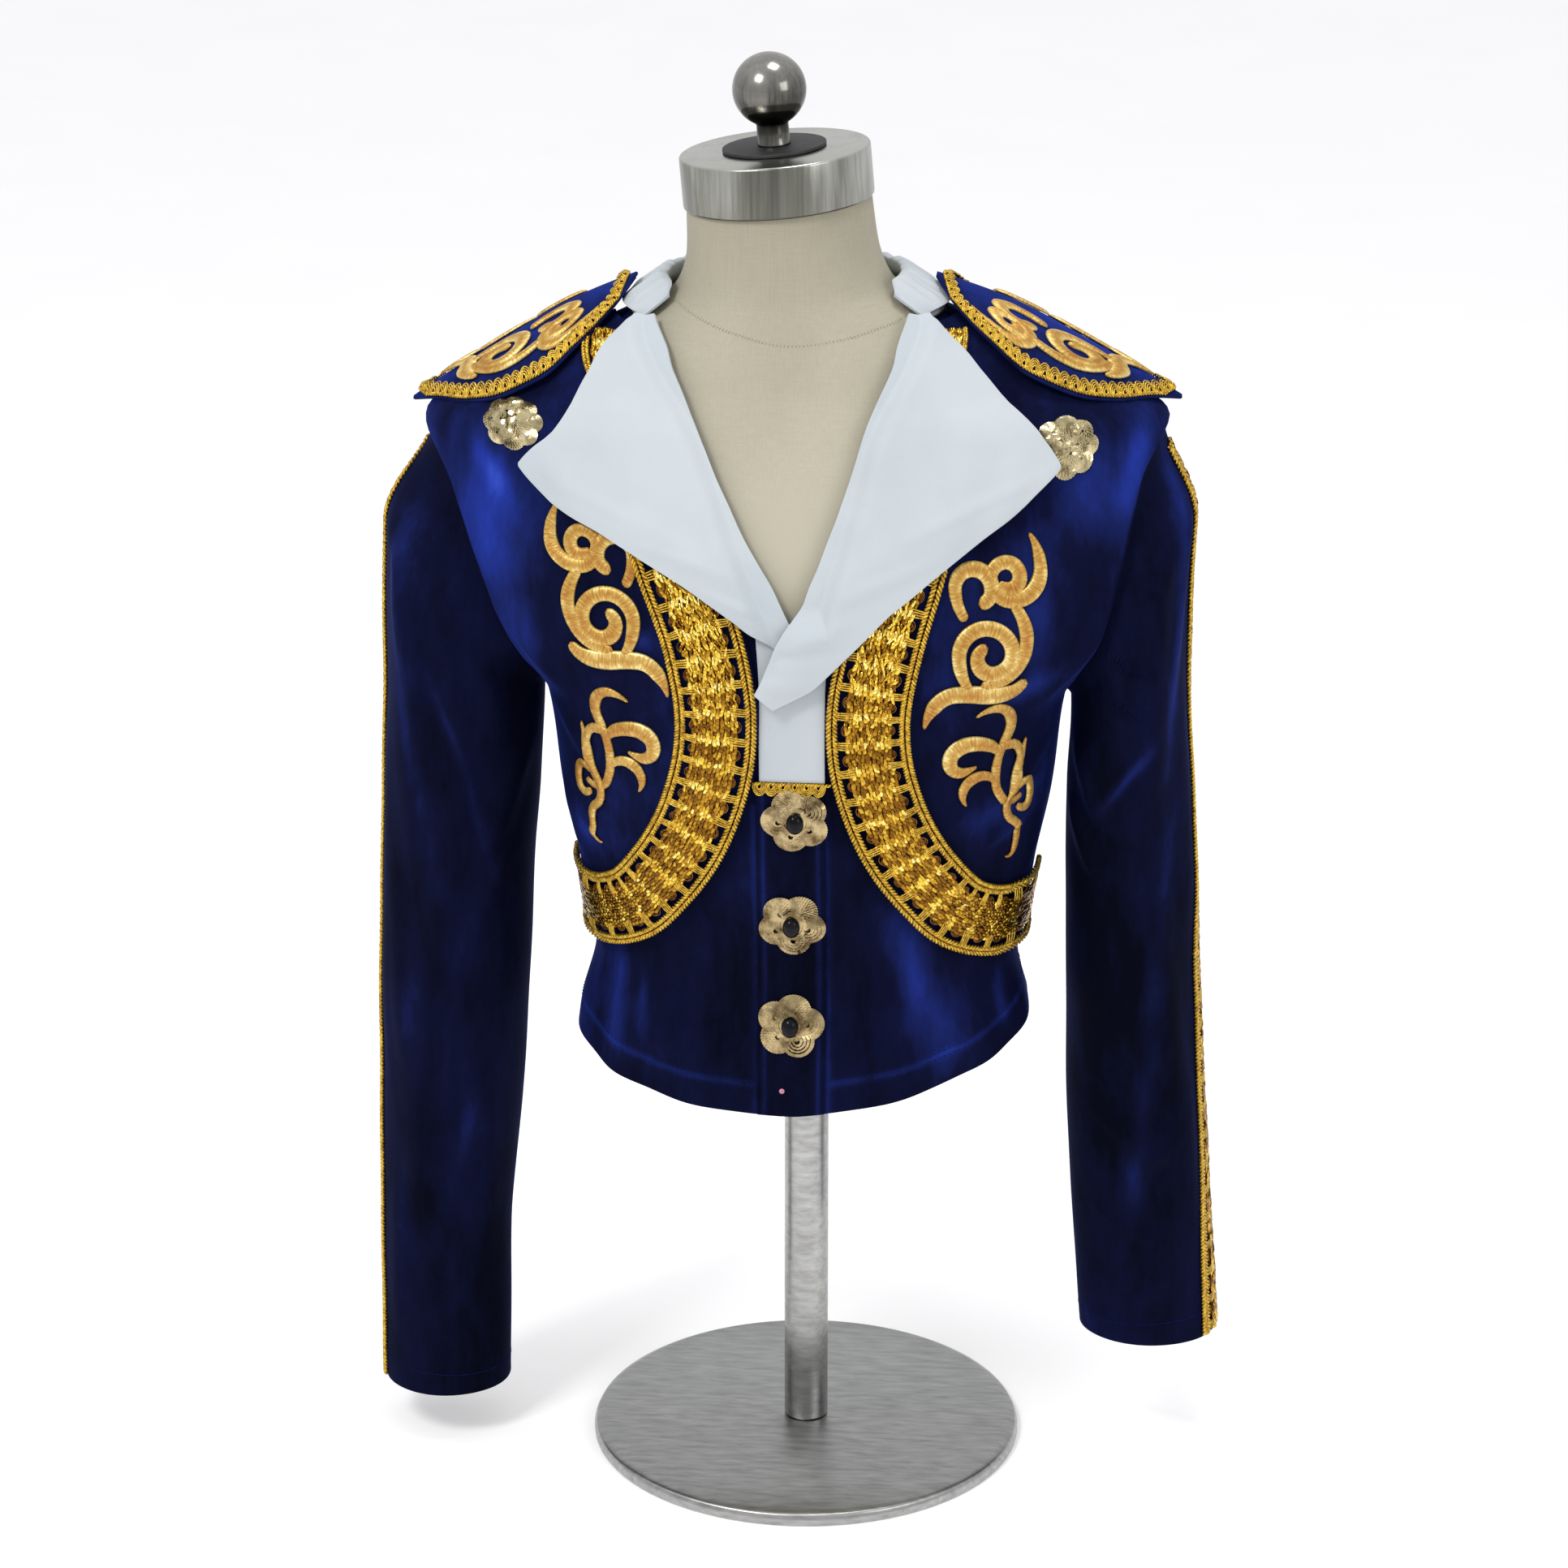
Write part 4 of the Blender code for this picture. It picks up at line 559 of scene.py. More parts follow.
knob_metal = polished_material(
    "polished_knob", 0.17, (0.10, (0.02, 0.02, 0.018)), (0.38, (0.07, 0.068, 0.06)),
    (0.60, (0.24, 0.23, 0.21)), (0.95, (0.44, 0.43, 0.40)))
stand_metal = brushed_material("stand_steel", (0.40, 0.40, 0.39), 0.3, (0.2, 1, 1), 0.15)
blue_thread = grained_material(
    "blue_thread", (0.008, 0.016, 0.13), (0.004, 0.008, 0.06), 0.85, 0.0, 900.0, 0.3, 0.0)
pale_thread = grained_material("pale_thread", (0.40, 0.35, 0.26), (0.26, 0.22, 0.15), 0.8, 0.0, 900.0, 0.3)
pink_paint = grained_material("pink_stud", (0.55, 0.22, 0.32), (0.38, 0.12, 0.20), 0.4, 0.0, 300.0, 0.2)


# Making pieces

def deselect():
    bpy.ops.object.select_all(action="DESELECT")


def choose(*pieces):
    """Select these pieces only, the first one active."""
    deselect()
    for piece in pieces:
        piece.select_set(True)
    bpy.context.view_layer.objects.active = pieces[0]


def new_piece(name, data):
    piece = bpy.data.objects.new(name, data)
    bpy.context.scene.collection.objects.link(piece)
    choose(piece)
    return piece


def edit(*steps):
    """Select all of the active piece in edit mode and take the steps."""
    bpy.ops.object.mode_set(mode="EDIT")
    bpy.ops.mesh.select_all(action="SELECT")
    for step in steps:
        step()
    bpy.ops.object.mode_set(mode="OBJECT")


def close_ends():
    """In edit mode, fill the open rims and turn every face outward."""
    bpy.ops.mesh.select_all(action="DESELECT")
    bpy.ops.mesh.select_non_manifold()
    bpy.ops.mesh.edge_face_add()
    bpy.ops.mesh.select_all(action="SELECT")
    bpy.ops.mesh.normals_make_consistent(inside=False)


def points_of(mesh):
    flat = np.empty(len(mesh.vertices) * 3)
    mesh.vertices.foreach_get("co", flat)
    return flat.reshape(-1, 3)


def settle(piece, name, material, replaced=()):
    """Name a finished piece, give it its material and slot, and let it ride on the part."""
    piece.name = piece.data.name = name
    piece.data.materials.clear()
    piece.data.materials.append(material)
    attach(piece, "root")
    if replaced:
        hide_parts(*replaced)


def round_edges(piece, width, segments, angle):
    soft = piece.modifiers.new("edge", "BEVEL")
    soft.width, soft.segments = width * MM, segments
    soft.limit_method, soft.angle_limit = "ANGLE", math.radians(angle)


def apply_modifiers(piece):
    choose(piece)
    for modifier in list(piece.modifiers):
        bpy.ops.object.modifier_apply(modifier=modifier.name)


def unit_grid(columns, rows):
    """A flat grid, its mesh, and its points' shares: s over its columns and t over its rows."""
    deselect()
    bpy.ops.mesh.primitive_grid_add(x_subdivisions=columns, y_subdivisions=rows, size=1.0)
    piece = bpy.context.object
    flat = points_of(piece.data)
    return piece, piece.data, np.clip(flat[:, 0] + 0.5, 0, 1), np.clip(flat[:, 1] + 0.5, 0, 1)


def grid_over(place, columns, rows, wrap=False, painted_light=None):
    """A grid laid over place(s, t, out), facing the way that out grows."""
    piece, mesh, s, t = unit_grid(columns, rows)
    points = place(s, t, 0.0)
    mesh.vertices.foreach_set("co", (points * MM).ravel())
    if painted_light is not None:
        # The attribute stored here is painted light for the velvet: painted highlights and painted shade.
        mesh.attributes.new("painted_light", "FLOAT", "POINT").data.foreach_set("value", painted_light(s, t))
    mesh.update()
    face = mesh.polygons[(rows // 2) * columns + columns // 2]
    corners = list(face.vertices)
    outer = place(s[corners], t[corners], 1.0).mean(axis=0) - points[corners].mean(axis=0)
    if np.dot(np.array(face.normal), outer) < 0:
        edit(bpy.ops.mesh.flip_normals)
    if wrap:
        edit(lambda: bpy.ops.mesh.remove_doubles(threshold=0.00002))
    return piece


def wall(piece, thick, offset=1.0, edge=0.4):
    """Give a grid its thickness, out (1), in (-1) or both ways (0) from its surface, and soft edges."""
    solidify = piece.modifiers.new("wall", "SOLIDIFY")
    solidify.thickness, solidify.offset = thick * MM, offset
    if edge:
        round_edges(piece, edge, 2, 60)
    apply_modifiers(piece)
    bpy.ops.object.shade_smooth()
    return piece


def strands(lines, radius, closed=False):
    """Four-sided threads along lines, each an array of points in millimetres."""
    curve = bpy.data.curves.new("strands", "CURVE")
    curve.dimensions, curve.bevel_depth, curve.bevel_resolution = "3D", radius * MM, 0
    curve.use_fill_caps = True
    for line in lines:
        spline = curve.splines.new("POLY")
        spline.points.add(len(line) - 1)
        spline.points.foreach_set("co", np.c_[np.asarray(line) * MM, np.ones(len(line))].ravel())
        spline.use_cyclic_u = closed
    new_piece("strands", curve)
    bpy.ops.object.convert(target="MESH")
    bpy.ops.object.shade_smooth()
    return bpy.context.object


def join(pieces):
    choose(*pieces)
    bpy.ops.object.join()
    return bpy.context.object


def strips(centres, sides_of, thick):
    """Flat ribbons: centre lines (ribbon, point, xyz) and half-width vectors, given a thickness."""
    count, points = centres.shape[:2]
    verts = np.stack([centres - sides_of, centres + sides_of], axis=2).reshape(-1, 3) * MM
    first = (np.arange(count)[:, None] * points + np.arange(points - 1)[None, :]).ravel() * 2
    faces = np.stack([first, first + 1, first + 3, first + 2], axis=1)
    mesh = bpy.data.meshes.new("strips")
    mesh.from_pydata(verts.tolist(), [], faces.tolist())
    return wall(new_piece("strips", mesh), thick, 0.0, 0)


def scatter(unit, centres, x_ways, y_ways, z_ways):
    """Copies of a small unit, joined into one piece and set in the given frames."""
    flat = points_of(unit.data)
    verts = centres[:, None] * MM
    for k, ways in enumerate((x_ways, y_ways, z_ways)):
        verts = verts + flat[None, :, k:k + 1] * ways[:, None]
    faces = [tuple(face.vertices) for face in unit.data.polygons]
    every = [tuple(v + k * len(flat) for v in face) for k in range(len(centres)) for face in faces]
    joined = bpy.data.meshes.new("scattered")
    joined.from_pydata(verts.reshape(-1, 3).tolist(), [], every)
    bpy.data.objects.remove(unit)
    piece = new_piece("scattered", joined)
    bpy.ops.object.shade_smooth_by_angle(angle=math.radians(35))
    return piece


# Velvet panels

def hem_up(up, across):
    """Bend the lowest rows to the hem, lowest at the centre front."""
    left = np.asarray(across) > 0
    foot, curve = (np.where(left, table[1], table[-1]) for table in (HEM_SIDES, HEM_CURVES))
    hem = HEM_FRONT + (foot - HEM_FRONT) * np.clip(np.abs(across) / side(foot), 0, 1) ** curve
    return np.where(up < WAIST, hem + (WAIST - hem) * (up - HEM_FRONT) / (WAIST - HEM_FRONT), up)


def hem_behind(part):
    """Height of the hem behind, by a share from the right side seam, -1, to the left, 1."""
    return (HEM_SIDES[1] + HEM_SIDES[-1]) / 2 + (HEM_SIDES[1] - HEM_SIDES[-1]) / 2 * part


# Streaks of painted highlight on the velvet: from and to (across, up), width, lightness
PAINTED_HIGHLIGHT_BODY = (
    (-205, 672, -178, 590, 24, 0.30), (-190, 678, -168, 645, 7, 0.30), (-234, 688, -219, 620, 6, 0.26),
    (-175, 585, -160, 540, 16, 0.14), (-100, 571, -82, 569, 5, 0.30), (-164, 459, -131, 413, 9, 0.18),
    (-150, 436, -128, 424, 5, 0.14), (222, 694, 199, 634, 8, 0.30), (188, 672, 160, 636, 20, 0.28),
    (143, 640, 146, 560, 13, 0.20), (126, 535, 162, 549, 6, 0.26), (104, 452, 172, 470, 8, 0.22),
    (120, 436, 152, 450, 5, 0.16), (62, 400, 90, 300, 11, 0.30), (92, 340, 97, 284, 15, 0.24),
    (133, 350, 138, 300, 6, 0.24), (-117, 350, -116, 290, 6, 0.22), (-99, 350, -97, 300, 4, 0.18),
    (-60, 345, -64, 280, 7, 0.10), (250, 610, 235, 520, 20, 0.22), (-250, 610, -235, 520, 20, 0.22),
    (292, 430, 284, 330, 11, 0.22), (-292, 430, -284, 330, 11, 0.20), (268, 662, 330, 640, 16, 0.18),
    (-268, 662, -330, 640, 16, 0.18), (350, 560, 344, 420, 12, 0.10), (-350, 560, -344, 420, 12, 0.12),
)
# The same painted highlights on a sleeve, by turn in degrees and height
PAINTED_HIGHLIGHT_SLEEVE = {
    1: ((-11, 680, -32, 622, 8, 0.34), (-32, 622, -51, 503, 7, 0.30), (-113, 554, -69, 541, 5, 0.32),
        (-73, 390, -69, 335, 8, 0.30), (-90, 250, -93, 186, 9, 0.22), (-52, 480, -60, 400, 8, 0.16),
        (-70, 330, -84, 260, 7, 0.14), (80, 600, 88, 400, 12, 0.22), (130, 440, 96, 370, 7, 0.16),
        (100, 300, 104, 140, 10, 0.14), (170, 560, 172, 420, 10, 0.12)),
    -1: ((-32, 660, -44, 590, 11, 0.30), (-44, 590, -80, 443, 7, 0.26), (-75, 592, -99, 560, 5, 0.26),
         (-99, 560, -126, 491, 5, 0.20), (-58, 222, -56, 110, 8, 0.20), (-111, 300, -108, 236, 6, 0.18),
         (-62, 400, -62, 250, 7, 0.14), (80, 600, 88, 400, 12, 0.22), (126, 440, 96, 350, 7, 0.16),
         (100, 280, 108, 100, 10, 0.14), (170, 560, 172, 420, 10, 0.12)),
}
# How strongly a sleeve's painted highlights show
PAINTED_HIGHLIGHT_SLEEVE_PART = {1: 0.85, -1: 0.6}


def streaks(table, base, a, b):
    """The sum of soft streaks, each between two points, with its width and strength."""
    total = base + 0 * a
    for a0, b0, a1, b1, width, strength in table:
        way_a, way_b = a1 - a0, b1 - b0
        t = np.clip(((a - a0) * way_a + (b - b0) * way_b) / (way_a * way_a + way_b * way_b), 0, 1)
        fade = 0.3 + 0.7 * np.sin(math.pi * t)
        away = (a - a0 - way_a * t) ** 2 + (b - b0 - way_b * t) ** 2
        total = total + strength * fade * np.exp(-away / (1.25 * width) ** 2)
    return total


def make_front(word, hand):
    def flat(s, t):
        up = HEM_FRONT + (CLOTH_TOP - HEM_FRONT) * t
        inner = neckline_at(up)[0]
        across = inner + (armhole_edge(up) - SEAM_GAP - inner) * s
        return hand * across, hem_up(up, hand * across)

    # Painted light: painted highlight streaks, and painted highlights along the hem's stitching and beside
    # the placket's edges.
    def painted_light(s, t):
        across, up = flat(s, t)
        hem = np.exp(-((up - hem_up(HEM_FRONT + 0 * across, across) - 19) / 2.5) ** 2)
        seam = np.exp(-((np.abs(across + 1.5) - 22) / 2.2) ** 2) * (up < 470)
        return streaks(PAINTED_HIGHLIGHT_BODY, -0.04, across, up) + 0.16 * np.maximum(hem, seam)
    piece = grid_over(lambda s, t, out: cloth(*flat(s, t), out), 110, 260, painted_light=painted_light)
    settle(wall(piece, CLOTH), f"front_panel_{word}", velvet, [f"front_{word}"])


def make_back():
    def flat(s, t):
        part = 2 * s - 1
        hem = hem_behind(part)
        up = hem + (CLOTH_TOP - hem) * t
        half = half_round(up)
        across = half - np.abs(part) * (half - armhole_edge(up, True) - SEAM_GAP)
        return np.where(part < 0, -across, across), up
    # The back's velvet takes the painted highlight streaks too.
    piece = grid_over(lambda s, t, out: cloth(*flat(s, t), out), 120, 140,
                      painted_light=lambda s, t: streaks(PAINTED_HIGHLIGHT_BODY, -0.04, *flat(s, t)))
    settle(wall(piece, CLOTH), "back_panel", velvet, ["back"])


def make_sleeve(word, hand):
    def place(s, t, out):
        return sleeve_cloth(hand, -2 * math.pi * s, t ** SLEEVE_ROWS, out)

    # Painted light: painted highlight streaks, weaker on the right sleeve, with the whole sleeve lowered by
    # 0.12.
    def painted_light(s, t):
        turn = (np.degrees(-2 * math.pi * s) + 180) % 360 - 180
        height = SHOULDER_POINT + (CUFF[hand] - SHOULDER_POINT) * t ** SLEEVE_ROWS
        return PAINTED_HIGHLIGHT_SLEEVE_PART[hand] * streaks(PAINTED_HIGHLIGHT_SLEEVE[hand], 0.0, turn, height) - 0.12
    piece = wall(grid_over(place, 128, 210, wrap=True, painted_light=painted_light), CLOTH, -1.0)
    settle(piece, f"sleeve_panel_{word}", velvet_down, [f"sleeve_{word}"])


def bolero_flat(hand, s, t):
    """Across and up of a bolero's point: its lower part fans out from its curved edge."""
    corner_at = edge_distance(BOLERO_CORNER)
    level_across = edge_across(BOLERO_LEVEL)
    part = np.clip(t / BOLERO_LOW, 0, 1)[:, None]
    reach = s[:, None]
    foot, _ = edge_at(corner_at + (edge_lengths[-1] - corner_at) * s)
    outer = float(armhole_edge(np.array(BOLERO_LEVEL))) - BOLERO_GAP
    level = np.array([level_across, BOLERO_LEVEL]) + np.array([outer - level_across, 0.0]) * reach
    front, _ = edge_at(corner_at + (edge_distance(BOLERO_LEVEL) - corner_at) * part[:, 0])
    corner, _ = edge_at(np.array(corner_at))
    straight = corner + (np.array([level_across, BOLERO_LEVEL]) - corner) * part
    lower = foot + (level - foot) * part + (front - straight) * (1 - reach)
    above = np.clip((t - BOLERO_LOW) / (1 - BOLERO_LOW), 0, 1)
    up = BOLERO_LEVEL + (BOLERO_EDGE[0][1] - BOLERO_LEVEL) * above
    inner = edge_across(up)
    across = inner + (armhole_edge(up) - BOLERO_GAP - 4.0 * ease((up - BOLERO_LEVEL) / 20) - inner) * s
    below = t < BOLERO_LOW
    return hand * np.where(below, lower[:, 0], across), np.where(below, lower[:, 1], up)


def make_bolero(word, hand):
    def place(s, t, out):
        across, up = bolero_flat(hand, s, t)
        return cloth(across, up, BOLERO_OUT + s ** 3 * ease((up - 620) / 30) + out)
    # The bolero's velvet takes the painted highlight streaks too.
    piece = grid_over(place, 72, 120, painted_light=lambda s, t: streaks(PAINTED_HIGHLIGHT_BODY, -0.02, *bolero_flat(hand, s, t)))
    settle(wall(piece, CLOTH), f"bolero_panel_{word}", velvet, [f"bolero_{word}"])


def make_wing(word, hand):
    first, last = WING[0][0], WING[-1][0]

    def place(s, t, out):
        return wing_cloth(hand, first + (last - first) * s, 2 * t - 1, out)
    # Painted highlight along the wing's crest, over a lighter base.
    piece = grid_over(place, 60, 40, painted_light=lambda s, t: 0.10 + 0.14 * np.cos(math.pi * (t - 0.45)) ** 4)
    settle(wall(piece, WING_THICK), f"wing_panel_{word}", velvet, [f"wing_{word}"])


def make_placket():
    def place(s, t, out):
        across = PLACKET_FROM + PLACKET_WIDTH * s
        up = hem_up(HEM_FRONT + (PLACKET_TOP - HEM_FRONT) * t, across) + 0.4 * (1 - t)
        return cloth(across, up, PLACKET_OUT + out)

    # Painted highlights along the placket's two edges, over a darker base.
    def painted_light(s, t):
        return -0.10 + 0.2 * np.exp(-((np.abs(s - 0.5) - 0.4) / 0.04) ** 2)
    piece = grid_over(place, 40, 100, painted_light=painted_light)
    settle(wall(piece, CLOTH), "placket_panel", velvet, ["placket"])


# White lapels, collar and insert

lapel_at = {hand: smooth([(k, *row) for k, row in enumerate(LAPEL[hand])]) for hand in (1, -1)}
# Soft creases of the lapels: from and to, over the lapel and twice along it, width, height
LAPEL_CREASES = {
    1: ((0.55, 1.06, 0.96, 0.84, 0.045, 0.9), (0.35, 1.42, 0.85, 1.26, 0.05, 1.1),
        (0.2, 1.66, 0.7, 1.56, 0.05, 1.3), (0.0, 1.72, 0.9, 1.66, 0.03, -1.6),
        (0.1, 1.90, 0.9, 1.86, 0.04, 1.2), (0.2, 0.40, 0.5, 1.0, 0.06, -0.6),
        (0.6, 0.5, 0.8, 0.74, 0.06, 0.5)),
    -1: ((0.3, 1.30, 0.9, 1.22, 0.05, 0.9), (0.15, 1.60, 0.8, 1.50, 0.05, 1.2),
         (0.1, 1.76, 0.6, 1.70, 0.04, -1.2), (0.1, 1.88, 0.8, 1.84, 0.04, 1.2),
         (0.25, 0.3, 0.45, 1.0, 0.06, -0.6), (0.6, 1.0, 0.9, 0.86, 0.05, 0.7),
         (0.15, 0.9, 0.35, 1.2, 0.04, 0.6)),
}


def lapel_flat(hand, s, t):
    """Across and up of a lapel's point: s from its roll edge to its outer edge, t down it."""
    rows = LAPEL[hand]
    row = t * (len(rows) - 1)
    inner_across, inner_up, *outer = lapel_at[hand](row)
    straight = [np.interp(row, range(len(rows)), [line[k] for line in rows]) for k in (2, 3)]
    outer_across, outer_up = (0.75 * a + 0.25 * b for a, b in zip(straight, outer))
    top = 1 - ease(row / 1.6)
    inner_across, outer_across = inner_across - 7 * top, outer_across - 8 * top
    inner_up, outer_up = inner_up + 6 * top, outer_up + 1 * top
    if hand < 0:
        outer_across = outer_across - 5 * np.exp(-(row - 3.8) ** 2)
    else:
        inner_across = inner_across - 8 * ease((598 - inner_up) / 30)
        outer_up = outer_up - 4 * ease((570 - outer_up) / 30)
    part = s ** 1.2
    return inner_across + (outer_across - inner_across) * part, inner_up + (outer_up - inner_up) * part


def make_lapel(word, hand):
    def place(s, t, out):
        across, up = lapel_flat(hand, s, t)
        inside = ease((across - edge_across(up) + 16) / 12)
        if hand > 0:
            inside = np.maximum(inside, 1 - ease((up - 575) / 20))
        crown = np.sin(math.pi * np.minimum(s * 0.92 + 0.08, 1.0)) * 2.0
        wave = 0.5 * np.sin(t * 21 + s * 4) * ease(s * 2) + 0.4 * np.sin(t * 47 - s * 3) * ease(1 - s * 3)
        rest = LAPEL_LOW + (LAPEL_OUT - LAPEL_LOW + crown) * inside
        dents = streaks(LAPEL_CREASES[hand], 0.0, s, t * 2) * ease(s * 6)
        return cloth(hand * across, up, rest + 0.5 + (wave + dents) * (0.25 + 0.75 * inside) + out)
    piece = wall(grid_over(place, 40, 150), LAPEL_THICK, edge=0.9)
    settle(piece, f"lapel_facing_{word}", white, [f"lapel_{word}"])


# Roll of the collar: step over it, height, distance out of the cloth
collar_at = smooth(((0, 816.5, -0.3), (1, 831, 0.6), (2, 844, 2.4), (3, 852.5, 5.8), (4, 850, 9.4),
                    (5, 839, 11.0), (6, 826, 10.6), (7, 815, 8.8)))


def make_collar():
    """Rolled band round the neck, gathered a little, its two ends drawn together under the lapels."""
    def place(s, t, out):
        up, leaf = collar_at(t * 7)
        part = 2 * s - 1
        open_end = ease((1 - np.abs(part)) / 0.07)
        up, leaf = 820 + (up - 820) * (0.62 + 0.38 * open_end), 4.0 + (leaf - 4.0) * (0.1 + 0.9 * open_end)
        across = (1 - np.abs(part) * 0.645) * half_round(up)
        gather = (0.7 * np.sin(s * 150 + 2 * np.sin(s * 31)) + 0.6 * np.sin(s * 61 + 3 * t + 1.3)
                  + 0.35 * np.sin(s * 263 - 2 * t))
        leaf = leaf + gather * ease((t - 0.3) * 4) * ease((1 - t) * 8) * open_end
        return cloth(np.where(part < 0, -across, across), up, leaf + out)
    piece = wall(grid_over(place, 300, 32), 1.4, -1.0)
    settle(piece, "collar_roll", white, ["collar"])


def make_insert():
    def place(s, t, out):
        crease = 0.8 * np.sin(s * 5 + t * 9) * ease(t * 3) * ease((1 - t) * 3)
        across = (-19.6 + 39.2 * s) * (1 + 0.12 * ease(t * 2 - 1))
        up = INSERT_FOOT + (91 + 13 * np.abs(2 * s - 1)) * t
        return cloth(across, up, PLACKET_OUT + 0.3 + crease + out)
    piece = wall(grid_over(place, 24, 40), CLOTH)
    settle(piece, "insert_panel", white, ["insert"])


# Gold braids

def twisted(place_at, start, end, w, ply_radius, pitch, turn=1):
    """Centre lines of a two-ply cord laid at a distance w across a braid."""
    d = np.linspace(start, end, int((end - start) / pitch * 7) + 2)
    lines = []
    for phase in (0.0, math.pi):
        a = turn * 2 * math.pi * d / pitch + phase
        lines.append(place_at(d, w + ply_radius * 0.9 * np.cos(a), ply_radius * (1.1 + 0.9 * np.sin(a))))
    return lines


def make_floats(name, place_at, start, end, rungs_from, showy):
    """Short flat floats in columns: showy(distance) is how bright and rough they lie, from 0 to 1."""
    rows = int((end - start) / FLOAT_PITCH)
    d0 = start + (np.arange(rows)[:, None] + 0.5 * (np.arange(FLOAT_COLUMNS) % 2)) / rows * (end - start)
    d0 = (d0 + chance.uniform(-0.7, 0.7, d0.shape)).ravel()
    w0 = np.tile(np.linspace(12.8, 37.2, FLOAT_COLUMNS), rows)
    w0 = w0 + chance.uniform(-0.5, 0.5, w0.shape)
    rough = showy(d0)
    steps = np.array([-0.5, -0.2, 0.2, 0.5])
    d = np.clip(d0[:, None] + steps * FLOAT_LENGTH, start, end)
    w = w0[:, None] + steps * chance.uniform(-1.2, 1.2, d0.shape)[:, None] * (0.9 + 2.0 * rough[:, None])
    top = 1.55 + chance.uniform(-0.2, 0.5, d0.shape) * (0.6 + rough)
    lift = top[:, None] + np.array([-0.75, 0.1, 0.25, -0.55])
    middle = place_at(d, w, lift)
    aside = unit_rows(place_at(d, w + 1, lift) - place_at(d, w - 1, lift))
    out = unit_rows(place_at(d, w, lift + 1) - middle)
    lean_by = chance.uniform(-1, 1, (len(d0), 1, 1)) * (0.35 + 0.5 * rough[:, None, None])
    widths = np.array([0.75, 1.3, 1.3, 0.75])[None, :, None]
    ribbons = strips(middle, widths * unit_rows(aside + out * lean_by), 0.2)
    row = (d0 - rungs_from) / LADDER_PITCH
    near_rung = np.exp(-((row - np.round(row)) * LADDER_PITCH / 3.2) ** 2)
    light = np.clip(0.14 + 0.50 * near_rung + 0.26 * rough + chance.uniform(-0.38, 0.38, d0.shape), 0, 1)
    shade = ribbons.data.attributes.new("light", "FLOAT", "POINT")
    shade.data.foreach_set("value", np.tile(np.repeat(light, 2 * len(steps)), 2))
    settle(ribbons, f"{name}_floats", tinsel)


def make_galloon(name, replaced, place_at, start, end, rungs_from, showy):
    """Ladder galloon: corded edges, rungs of bundled thread, loops at their ends, and floats on a tape."""
    cords = []
    for w, turn in ((2.1, 1), (5.7, -1), (44.3, 1), (47.9, -1)):
        cords += twisted(place_at, start, end, w, 1.05, 5.0, turn)
    rungs, loops = [], []
    ring_turns = np.linspace(0, 2 * math.pi, 15)[:-1]
    for d in np.arange(rungs_from, end - 2, LADDER_PITCH):
        for w0, w1 in ((5.0, 16.0), (45.0, 34.0)):
            slant = chance.uniform(-1.6, 1.6)
            w = np.linspace(w0, w1, 6)
            rise = 1.3 + 0.7 * np.sin(np.linspace(0, 3, 6))
            for shift in (-2.1, -0.9, 0.4, 1.7):
                at = d + shift * np.linspace(1, 1.3, 6) + slant * (w - w0) / (w1 - w0)
                rungs.append(place_at(np.clip(at, start, end - 0.5), w, rise))
        for w_loop in (13.4, 36.6):
            for radius in (4.2, 3.3, 2.4):
                at = d + LADDER_PITCH / 2 + chance.uniform(-1, 1) + radius * np.cos(ring_turns)
                loops.append(place_at(np.clip(at, start, end - 0.5),
                                      w_loop + radius * 0.95 * np.sin(ring_turns), 0.8 + 0 * ring_turns))
    settle(join([strands(cords, 1.0), strands(rungs, 0.62)]), name, cord_gold, [replaced])
    settle(strands(loops, 0.34, closed=True), f"{name}_loops", amber)

    def tape_at(s, t, out):
        return place_at(start + (end - start) * t, TAPE_FROM + TAPE_WIDTH * s, 0.15 + out)
    tape = wall(grid_over(tape_at, 12, int((end - start) / 4)), 0.6, edge=0)
    settle(tape, f"{name}_tape", amber)
    make_floats(name, place_at, start, end, rungs_from, showy)


# How much of its width a front galloon loses at the neck
GALLOON_DRAWN_IN = {1: 0.62, -1: 0.32}
GALLOON_END = edge_lengths[-1] - 8


def make_front_galloon(word, hand):
    def place_at(distance, w, out):
        distance, w = spread(distance, w)
        here = edge_at(distance)[0]
        way = edge_at(np.minimum(distance, GALLOON_END - 30))[1]
        w = w * (1 - GALLOON_DRAWN_IN[hand] * ease((here[..., 1] - 690) / 45))
        across = here[..., 0] - way[..., 1] * w
        up = here[..., 1] + way[..., 0] * w
        pull = ease((distance - GALLOON_END + 45) / 45)
        across = across + pull * (side(up) - 1.5 - across)
        lift = ease((up - 680) / 20) + ease((440 - up) / 20)
        return cloth(hand * across, up, TRIM_OUT + lift * 0.4 + out)
    make_galloon(f"front_galloon_{word}", f"galloon_{word}", place_at, edge_distance(798), GALLOON_END,
                 edge_distance(640), lambda d: 1 - ease((d - edge_distance(590)) / 90))


SLEEVE_GALLOON_TOP = 670.0
# How far a sleeve's galloon sits behind its outer side, by height
SLEEVE_GALLOON_BACK = {1: ((80, 0.5), (250, 4), (450, 9), (600, 13), (670, 17)),
                       -1: ((33, 11), (560, 12), (670, 26))}


